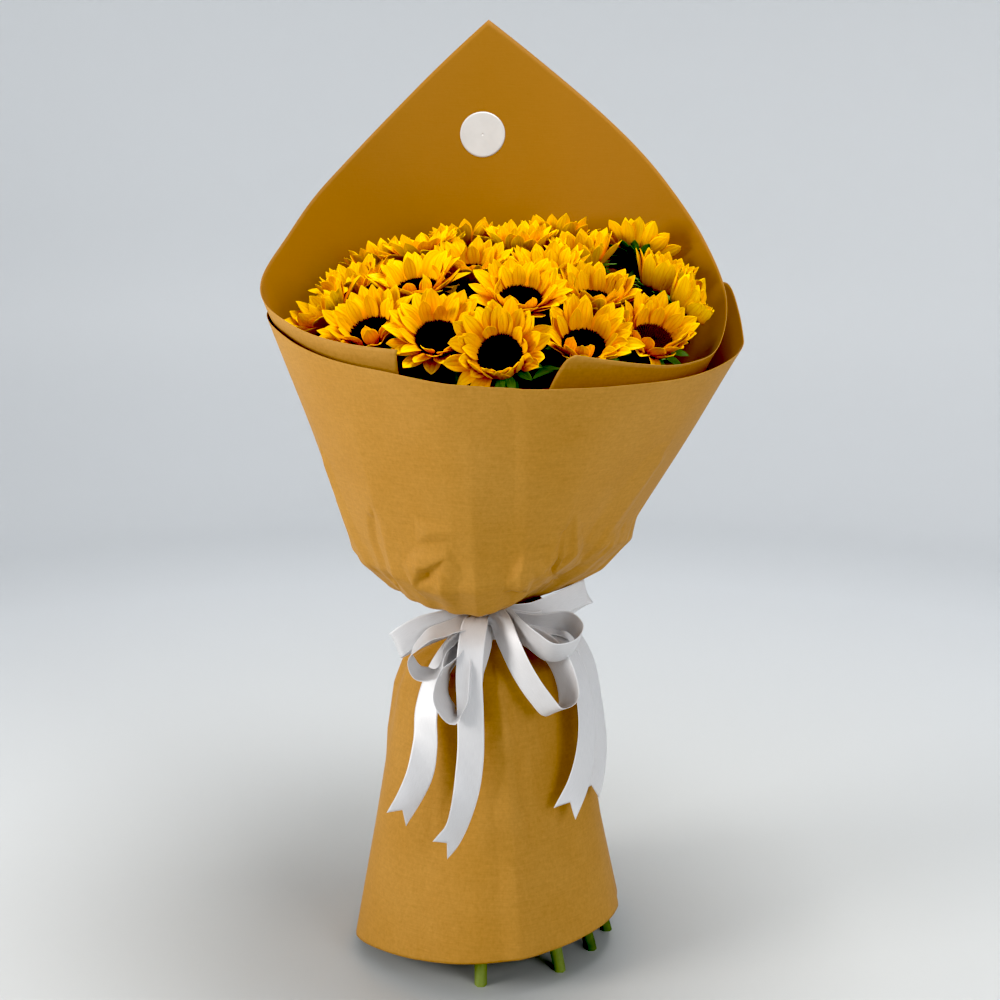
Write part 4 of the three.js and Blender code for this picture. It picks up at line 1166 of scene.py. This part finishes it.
def petals_of(bloom, draw):
    def loose(what):
        return draw.uniform(-LOOSE[what], LOOSE[what])

    shape = Shape()
    for ring in PETAL_RINGS:
        start = draw.uniform(0, 360)
        for k in range(ring["count"]):
            angle = start + (k + loose("place")) * 360 / ring["count"]
            length = ring["length"] * draw.uniform(0.88, 1.08)
            front = max(0, math.cos(math.radians(angle) - math.atan2(*-bloom.axes[1, 1::-1])))
            lift = bloom.lift + ring["steeper"] + STEEPER.get(bloom.number, 0) + loose("lift")
            lift += NEAR_RAISED.get(bloom.number, 0) * front**2
            bend = loose("bend")
            twist, sway, ruffle = loose("twist"), loose("sway"), draw.uniform(0, 1.1)
            if draw.uniform(0, 1) < CURLED.get(bloom.number, USUALLY_CURLED):
                bend, twist = draw.choice([-85, 75]), draw.choice([-55, 55])
            tone = draw.uniform(0, 1)
            while True:
                grid = bloom.place(turned(petal(ring, length, lift, bend, twist, sway, ruffle), angle))
                if bloom.room(grid[5::3, 1::4].reshape(-1, 3)) > PETAL_ROOM["neighbour"]:
                    break
                if lift + bend / 2 < MOST_UPRIGHT:
                    lift += RAISE_BY
                elif length > PETAL_ROOM["shortest"]:
                    length *= SHORTEN_TO
                else:
                    break
            shape.add_grid(grid, tone)
    name, thickness = f"{bloom.number:02d}", THICKNESS["petal"]
    return shape.finish("ray_petals_" + name, PETAL_GOLD, "petals", thickness, ["petals_" + name])


for bloom in blooms:
    petals_of(bloom, np.random.default_rng(100 + bloom.number))
print("petals:", len(blooms) * sum(ring["count"] for ring in PETAL_RINGS))

# %% [markdown]
# ## Discs
#
# The disc is hundreds of small florets in the spiral that every sunflower has: each one is
# turned from the last by the golden angle, 137.5 degrees, and lies a little further out.
# Each floret is a small five-sided bud. Round the rim stand the dark bracts, fine and
# uneven, which give a disc its furry edge.

# %% Disc florets
GOLDEN_ANGLE = 137.508
FLORETS = 260
FLORET_REACH = 17.3  # mm, the radius of the outermost floret
FLORET_RADIUS, RIM_BRACT_RADIUS = 0.78, 0.42
RIM_BRACTS = 120
BUD_SIDES = 5
BROWN_DISCS = {16: 0.75, 6: 0.3, 18: 0.4}  # discs that have begun to flower are browner


def disc_height(radius):
    share = np.clip(radius / DISC_RADIUS, 0, 1)
    return 2.4 + 2.1 * np.sin(np.pi * share**0.9) - 0.9 * np.exp(-((radius / 5) ** 2))


def spikes(roots, directions, lengths, radius):
    """Small pointed buds: a ring at the root, a ring at two thirds, and a tip."""
    count, sides = len(roots), BUD_SIDES
    side = unit(np.cross(directions, np.array([0.31, 0.92, 0.24])))
    other = np.cross(directions, side)
    turn = np.linspace(0, 2 * np.pi, sides, endpoint=False)
    circle = side[:, None] * np.cos(turn)[:, None] + other[:, None] * np.sin(turn)[:, None]
    radius = np.broadcast_to(radius, count)[:, None, None]
    up = directions * lengths[:, None]
    low = roots[:, None] + circle * radius
    high = (roots + 0.62 * up)[:, None] + circle * radius * 0.8
    points = np.concatenate([low, high, (roots + up)[:, None]], axis=1)
    ring = [[k, (k + 1) % sides, sides + (k + 1) % sides, sides + k] for k in range(sides)]
    tips = [[sides + k, sides + (k + 1) % sides, 2 * sides] for k in range(sides)]
    size = 2 * sides + 1
    faces = [[i * size + c for c in face] for i in range(count) for face in ring + tips]
    return points, faces


def disc_paint():
    paint = Paint("disc_florets", Specular_IOR_Level=0.05)
    tone, along = paint.attribute("tone"), paint.attribute("along")
    dark = paint.ramp(
        tone,
        (0.0, (0.0015, 0.0008, 0.0006)),
        (0.5, (0.034, 0.016, 0.006)),
        (1.0, (0.16, 0.080, 0.025)),
    )
    specks = paint.noise(paint.place(900, 900, 900), detail=2.0)
    colour = paint.mix(along * specks * 0.3, dark, (0.02, 0.010, 0.004))
    return paint.finish(
        Base_Color=colour,
        Roughness=0.75 + specks * 0.2,
        Normal=paint.bump(specks, 0.0003, 0.5),
    )


DISC_FLORETS = disc_paint()


def add_spikes(shape, bloom, roots, directions, lengths, radius, tones):
    points, faces = spikes(roots, unit(directions), lengths, radius)
    size = points.shape[1]
    along = np.tile(np.r_[np.zeros(BUD_SIDES), np.full(BUD_SIDES, 0.6), 1.0], len(roots))
    sides = [face for face in faces if len(face) == 4]
    shape.add(bloom.place(points.reshape(-1, 3)), sides, along, 0, np.repeat(tones, size))
    shape.faces.extend([[c + shape.count - len(roots) * size for c in f] for f in faces if len(f) == 3])


def disc_of(bloom, draw):
    shape = Shape()
    brown = BROWN_DISCS.get(bloom.number, 0.08)
    rings = np.linspace(0.02, 1, 12)[:, None] * DISC_RADIUS
    turn = np.linspace(0, 2 * np.pi, 36, endpoint=False)[None, :]
    dome = joined(rings * np.cos(turn), rings * np.sin(turn), disc_height(rings))
    skirt = dome[-1:] * (1, 1, 0) - (0, 0, 1.2)
    shape.add_grid(bloom.place(np.concatenate([dome, skirt])), brown * 0.6, closed=True)
    k = np.arange(1, FLORETS + 1)
    radius, angle = FLORET_REACH * np.sqrt(k / FLORETS), np.radians(k * GOLDEN_ANGLE)
    out = joined(np.cos(angle), np.sin(angle), 0)
    roots = out * radius[:, None] + np.array([0, 0, 1]) * (disc_height(radius) - 0.5)[:, None]
    leaning = out * (0.1 + 0.5 * (radius / 17) ** 2)[:, None] + draw.normal(0, 0.09, (FLORETS, 3)) + (0, 0, 1)
    heights = 1.5 + 0.9 * (radius / 17) + draw.uniform(-0.3, 0.4, FLORETS)
    tones = np.clip(brown + draw.uniform(-0.08, 0.16, FLORETS) + 0.30 * (radius / 17) ** 4, 0, 1)
    add_spikes(shape, bloom, roots, leaning, heights, FLORET_RADIUS, tones)
    angle = np.radians(np.arange(RIM_BRACTS) * 360 / RIM_BRACTS + draw.uniform(-1.5, 1.5, RIM_BRACTS))
    out = joined(np.cos(angle), np.sin(angle), 0)
    roots = out * draw.uniform(16.6, 18.2, RIM_BRACTS)[:, None] + (0, 0, 1.6)
    leaning = out * draw.uniform(0.4, 1.1, RIM_BRACTS)[:, None]
    leaning = leaning + draw.normal(0, 0.15, (RIM_BRACTS, 3)) + (0, 0, 1)
    tones = np.clip(brown + draw.uniform(0.0, 0.3, RIM_BRACTS), 0, 1)
    heights = draw.uniform(2.6, 4.6, RIM_BRACTS)
    add_spikes(shape, bloom, roots, leaning, heights, RIM_BRACT_RADIUS, tones)
    name = f"{bloom.number:02d}"
    return shape.finish("disc_florets_" + name, DISC_FLORETS, "disc", 0, ["disc_" + name])


for bloom in blooms:
    disc_of(bloom, np.random.default_rng(300 + bloom.number))
print("florets:", len(blooms) * FLORETS)

# %% [markdown]
# ## Stems, bracts and leaves
#
# A stem runs from its cut foot up through the tie, out to its own flower, and nods under
# the head. It has shallow ribs, and the down on it is only a bump of the material. Under the
# head it widens into the calyx, with two rows of pointed green bracts, and it carries a few
# broad toothed leaves. Each stem stands and passes the tie where its solid does. The first
# twelve leaves are the solids' too; the others fill the gaps between the flowers.

# %% Stem places
FEET = [  # angle and radius of each stem's foot, in the order of the flowers
    [-150, 30], [-172, 78], [-128, 78], [-150, 112], [-90, 30], [-112, 78], [-68, 78], [-90, 112],
    [-30, 26], [-60, 80], [-3, 110], [-34, 70], [30, 26], [12, 60], [50, 64], [40, 109],
    [90, 26], [68, 111], [112, 76], [89, 121], [150, 26], [128, 78], [172, 78], [150, 112],
]
TIE_PLACES = [(12.2, 0), (20.4, -4.9), (20.4, 4.9), (28.6, 0)]  # out and sideways, in each sixth
TIE_LOW, TIE_HIGH = band_low.z / MM, band_high.z / MM
NOD, CALYX_DEPTH = 42, 15  # mm behind the disc: where a stem bends, and where its calyx starts
STEM_RADIUS, NECK_RADIUS = 5.8, 4.4
STEM_TONES = {11: -0.7, 16: -0.45}  # the two stems in front are a fresh yellow green
# The two rows of bracts: count, root radius, depth, length, width and lift in degrees.
BRACT_ROWS = [(13, 16.5, -4.2, 19, 9.5, 4), (11, 13.5, -7.0, 17, 8.5, -14)]
GREEN_ROOM = {"bract": -4, "leaf": -6, "shortest": 26}  # mm over the shared border; mm long
# Leaves: the flower, how far below its disc, the angle it points to, its rise and its length.
LEAVES = [
    (2, 39, 180, 30, 52), (6, 39, -150, 25, 52), (7, 36, -125, 40, 52), (8, 39, -80, 30, 52),
    (10, 36, -70, 15, 52), (11, 42, 75, 30, 52), (12, 33, -30, 5, 52), (14, 39, -60, 25, 52),
    (15, 39, 110, 25, 52), (16, 33, 85, 15, 52), (20, 39, 50, 45, 52), (24, 39, 165, 30, 52),
    (14, 33, 40, 30, 46), (16, 36, -40, 35, 44), (12, 38, 60, 40, 44), (10, 40, 20, 45, 44),
    (9, 40, -60, 50, 46), (13, 38, 70, 50, 46), (5, 38, -60, 50, 44), (17, 38, 60, 50, 46),
    (7, 38, -20, 45, 44), (18, 36, 120, 35, 48), (19, 36, 40, 50, 44), (8, 36, 30, 55, 42),
    (1, 36, 10, 50, 44), (21, 36, -30, 50, 44), (22, 36, 140, 30, 48), (23, 36, 180, 30, 48),
    (4, 36, -150, 30, 48), (3, 36, -60, 45, 44),
]


def stem_route(bloom):
    sixth, seat = divmod(bloom.number - 1, 4)
    out, side = TIE_PLACES[seat]
    angle = sixth * 60 - 150 + math.degrees(math.atan2(side, out))
    radius = math.hypot(out, side)
    neck = bloom.at - NOD * bloom.facing
    tie = about(angle, radius, TIE_HIGH + 6)
    head = bloom.at - (CALYX_DEPTH - 4) * bloom.facing
    foot = about(*FEET[bloom.number - 1], 0)
    return [foot, about(angle, radius, TIE_LOW - 6), tie, (tie + neck) / 2, neck, head]


# %% Greens
def green_paint(name, light, dark, veining):
    """A leaf or stem green: clouded, with a paler rib and veins, and a fine down as bump."""
    paint = Paint(name, Specular_IOR_Level=0.4)
    along, across, tone = [paint.attribute(fact) for fact in ("along", "across", "tone")]
    clouds = paint.noise(paint.place(90, 90, 90), detail=4.0)
    green = paint.ramp(clouds, (0.3, dark), (0.72, light))
    rib = 1 - across.math("ABSOLUTE", across).between(0.0, 0.12)
    slant = along * 9 - across.math("ABSOLUTE", across) * 3.2
    veins = slant.math("PINGPONG", slant, 0.5).between(0.40, 0.49)
    marked = paint.mix((rib + veins * 0.6).between(0.0, 1.6) * veining, green, (0.23, 0.30, 0.09))
    shaded = paint.mix(tone * 0.5, marked, dark)
    colour = paint.mix((tone * -0.5).between(0.0, 1.0), shaded, (0.50, 0.58, 0.16))
    down = paint.noise(paint.place(1500, 1500, 500), detail=1.0)
    return paint.finish(
        Base_Color=colour,
        Roughness=0.5 + clouds * 0.2,
        Normal=paint.bump(rib + veins * 0.7 + down * 0.3, 0.0005, 0.5),
    )


LEAF_GREEN = green_paint("leaf_green", (0.17, 0.33, 0.075), (0.080, 0.175, 0.045), 0.35)
STEM_GREEN = green_paint("stem_green", (0.15, 0.20, 0.035), (0.065, 0.110, 0.022), 0.15)


def add_stem(shape, bloom, draw):
    """A ribbed stem, level where it is cut, with the pale pith of the cut."""
    spine = through(stem_route(bloom), 70)
    share = np.linspace(0, 1, len(spine))
    along = unit(np.gradient(spine, axis=0))
    along = unit(along * fade(share, 0.0, 0.03)[:, None] + (0, 0, 1) * (1 - fade(share, 0.0, 0.03))[:, None])
    side = unit(np.cross(np.array([0, 1.0, 0]), along))
    other = np.cross(along, side)
    turn = np.linspace(0, 2 * np.pi, 18, endpoint=False)
    ribs = 1 + 0.05 * np.cos(6 * turn)[None, :] + 0.03 * np.sin(11 * share)[:, None]
    radius = np.interp(share, [0, 0.4, 1], [STEM_RADIUS, STEM_RADIUS, NECK_RADIUS])[:, None] * ribs * 0.97
    circle = side[:, None] * np.cos(turn)[:, None] + other[:, None] * np.sin(turn)[:, None]
    grid = spine[:, None] + circle * radius[..., None]
    shape.add_grid(grid, STEM_TONES.get(bloom.number, 0.5) + draw.uniform(-0.1, 0.1), closed=True)
    pith = [spine[0] + circle[0] * (radius[0, :, None] * size) for size in (0.995, 0.6, 0.02)]
    shape.add_grid(np.array(pith)[::-1] + (0, 0, 0.02), -2.0, closed=True)


def calyx_profile():
    """Radius and depth of the green cup under a head, from its rim to the stem."""
    return through([[17.6, -1.6], [16.5, -4.5], [11.5, -8.5], [6.6, -12], [4.5, -16]], 12)


def blade(length, width, lifts, rows=12, columns=9, teeth=0.0, fold=12.0, seed=0.0):
    """A leaf or bract along +X from the origin: lifts are degrees at its root, middle and tip."""
    v = np.linspace(0, 1, rows)[:, None]
    a = np.linspace(-1, 1, columns)[None, :]
    slope = np.radians(np.interp(v, [0, 0.5, 1], lifts))
    step = np.diff(v, axis=0, prepend=0) * length
    x, z = np.cumsum(np.cos(slope) * step, axis=0), np.cumsum(np.sin(slope) * step, axis=0)
    outline = np.maximum(np.sin(np.pi * v**0.72) ** 0.8, 0.03)
    toothed = 1 + teeth * np.where(np.arange(rows)[:, None] % 2, 1, -1) * (np.abs(a) > 0.9)
    half = width / 2 * outline * toothed
    raised = np.abs(half * a) * math.tan(math.radians(fold))
    raised = raised + 0.04 * width * np.sin(6 * v + 4 * a + seed) * np.abs(a)
    return joined(x - np.sin(slope) * raised, half * a, z + np.cos(slope) * raised)


def add_calyx(stalks, leaves, bloom, draw):
    profile = calyx_profile()
    turn = np.linspace(0, 2 * np.pi, 24, endpoint=False)[None, :]
    cup_form = joined(profile[:, :1] * np.cos(turn), profile[:, :1] * np.sin(turn), profile[:, 1:])
    stalks.add_grid(bloom.place(cup_form[::-1]), 0.5, closed=True)
    for count, root, depth, length, width, lift in BRACT_ROWS:
        start = draw.uniform(0, 360)
        for k in range(count):
            size = draw.uniform(0.85, 1.1)
            lifts = np.array([lift - 14, lift, lift - 16]) + draw.uniform(-8, 10) + 0.25 * bloom.lift
            bract = blade(length * size, width, lifts, fold=8, columns=7, rows=9, seed=draw.uniform(0, 6))
            bract = turned(bract + (root, 0, depth), start + (k + draw.uniform(-0.2, 0.2)) * 360 / count)
            placed = bloom.place(bract)
            if bloom.room(placed[[5, 8], 3]) > GREEN_ROOM["bract"]:
                leaves.add_grid(placed, draw.uniform(0, 1))


def add_leaf(shape, bloom, below, towards, rise, length, draw):
    root = bloom.at - below * bloom.facing
    turn = towards - 90
    lifts = [rise, rise - 18, rise - 58]
    while True:
        leaf = blade(length, length * 0.6, lifts, rows=20, teeth=0.05, seed=draw.uniform(0, 6))
        placed = turned(leaf, turn) + root
        clear = bloom.room(placed[[9, 14, 19], 4]) > GREEN_ROOM["leaf"]
        if clear or length < GREEN_ROOM["shortest"]:
            break
        length *= 0.9
    shape.add_grid(placed, draw.uniform(0, 0.8))


for sixth in range(6):
    stalks, leaves = Shape(), Shape()
    draw = np.random.default_rng(500 + sixth)
    for bloom in blooms[4 * sixth : 4 * sixth + 4]:
        add_stem(stalks, bloom, draw)
        add_calyx(stalks, leaves, bloom, draw)
        for number, *leaf in LEAVES:
            if number == bloom.number:
                add_leaf(leaves, bloom, *leaf, draw)
    nodes = [f"stems_{sixth + 1}"]
    stalks.finish(f"stalks_{sixth + 1}", STEM_GREEN, "green", 0, nodes)
    leaves.finish(f"foliage_{sixth + 1}", LEAF_GREEN, "green", THICKNESS["leaf"], nodes)
print("leaves:", len(LEAVES))

# %% [markdown]
# ## The studio
#
# The floor is a pale surface with a soft gloss, painted darker round the bunch's foot as painted shade, and
# it curves up into the wall with no edge. It isn't part of the bunch.


# %% Studio bowl
def studio_paint():
    paint = Paint("studio_paint", Specular_IOR_Level=0.4)
    clouds = paint.noise(paint.place(1.2, 1.2, 1.2), detail=2.0)
    away = paint.node("ShaderNodeVectorMath", {"operation": "LENGTH"}, {0: paint.place(1, 1, 1)}, 1)
    # Painted shade: the floor is darker within about 0.4 m of the bowl's middle, where the bunch stands, and
    # lightens to the wall's colour by 1.5 m, with a cloudy border.
    far = (away + clouds * 0.2).between(0.4, 1.5)
    pale = paint.mix(far, (0.56, 0.565, 0.55), (0.72, 0.735, 0.745))
    grain = paint.noise(paint.place(120, 120, 120), detail=2.0)
    return paint.finish(Base_Color=pale, Roughness=0.42 + grain * 0.1)


def studio_bowl():
    reach, cove, top = 2.6, 0.7, 3.4
    turn = np.linspace(0, np.pi / 2, 14)
    floor = [[r, 0] for r in np.linspace(0.01, reach - cove, 12)]
    curve = [[reach - cove + cove * np.sin(t), cove - cove * np.cos(t)] for t in turn]
    section = np.array([*floor, *curve[1:], [reach, top]]) / MM
    angles = np.linspace(0, 360, 96, endpoint=False)
    grid = about(angles[None, :], section[:, :1], section[:, 1:])
    mesh = bpy.data.meshes.new("studio_bowl")
    points = grid.reshape(-1, 3) * MM
    mesh.from_pydata(points, [], grid_faces(len(section), len(angles), True).tolist())
    bowl = linked("studio_bowl", mesh, studio_paint())
    return bowl


bowl = studio_bowl()
print("studio points:", len(bowl.data.vertices))
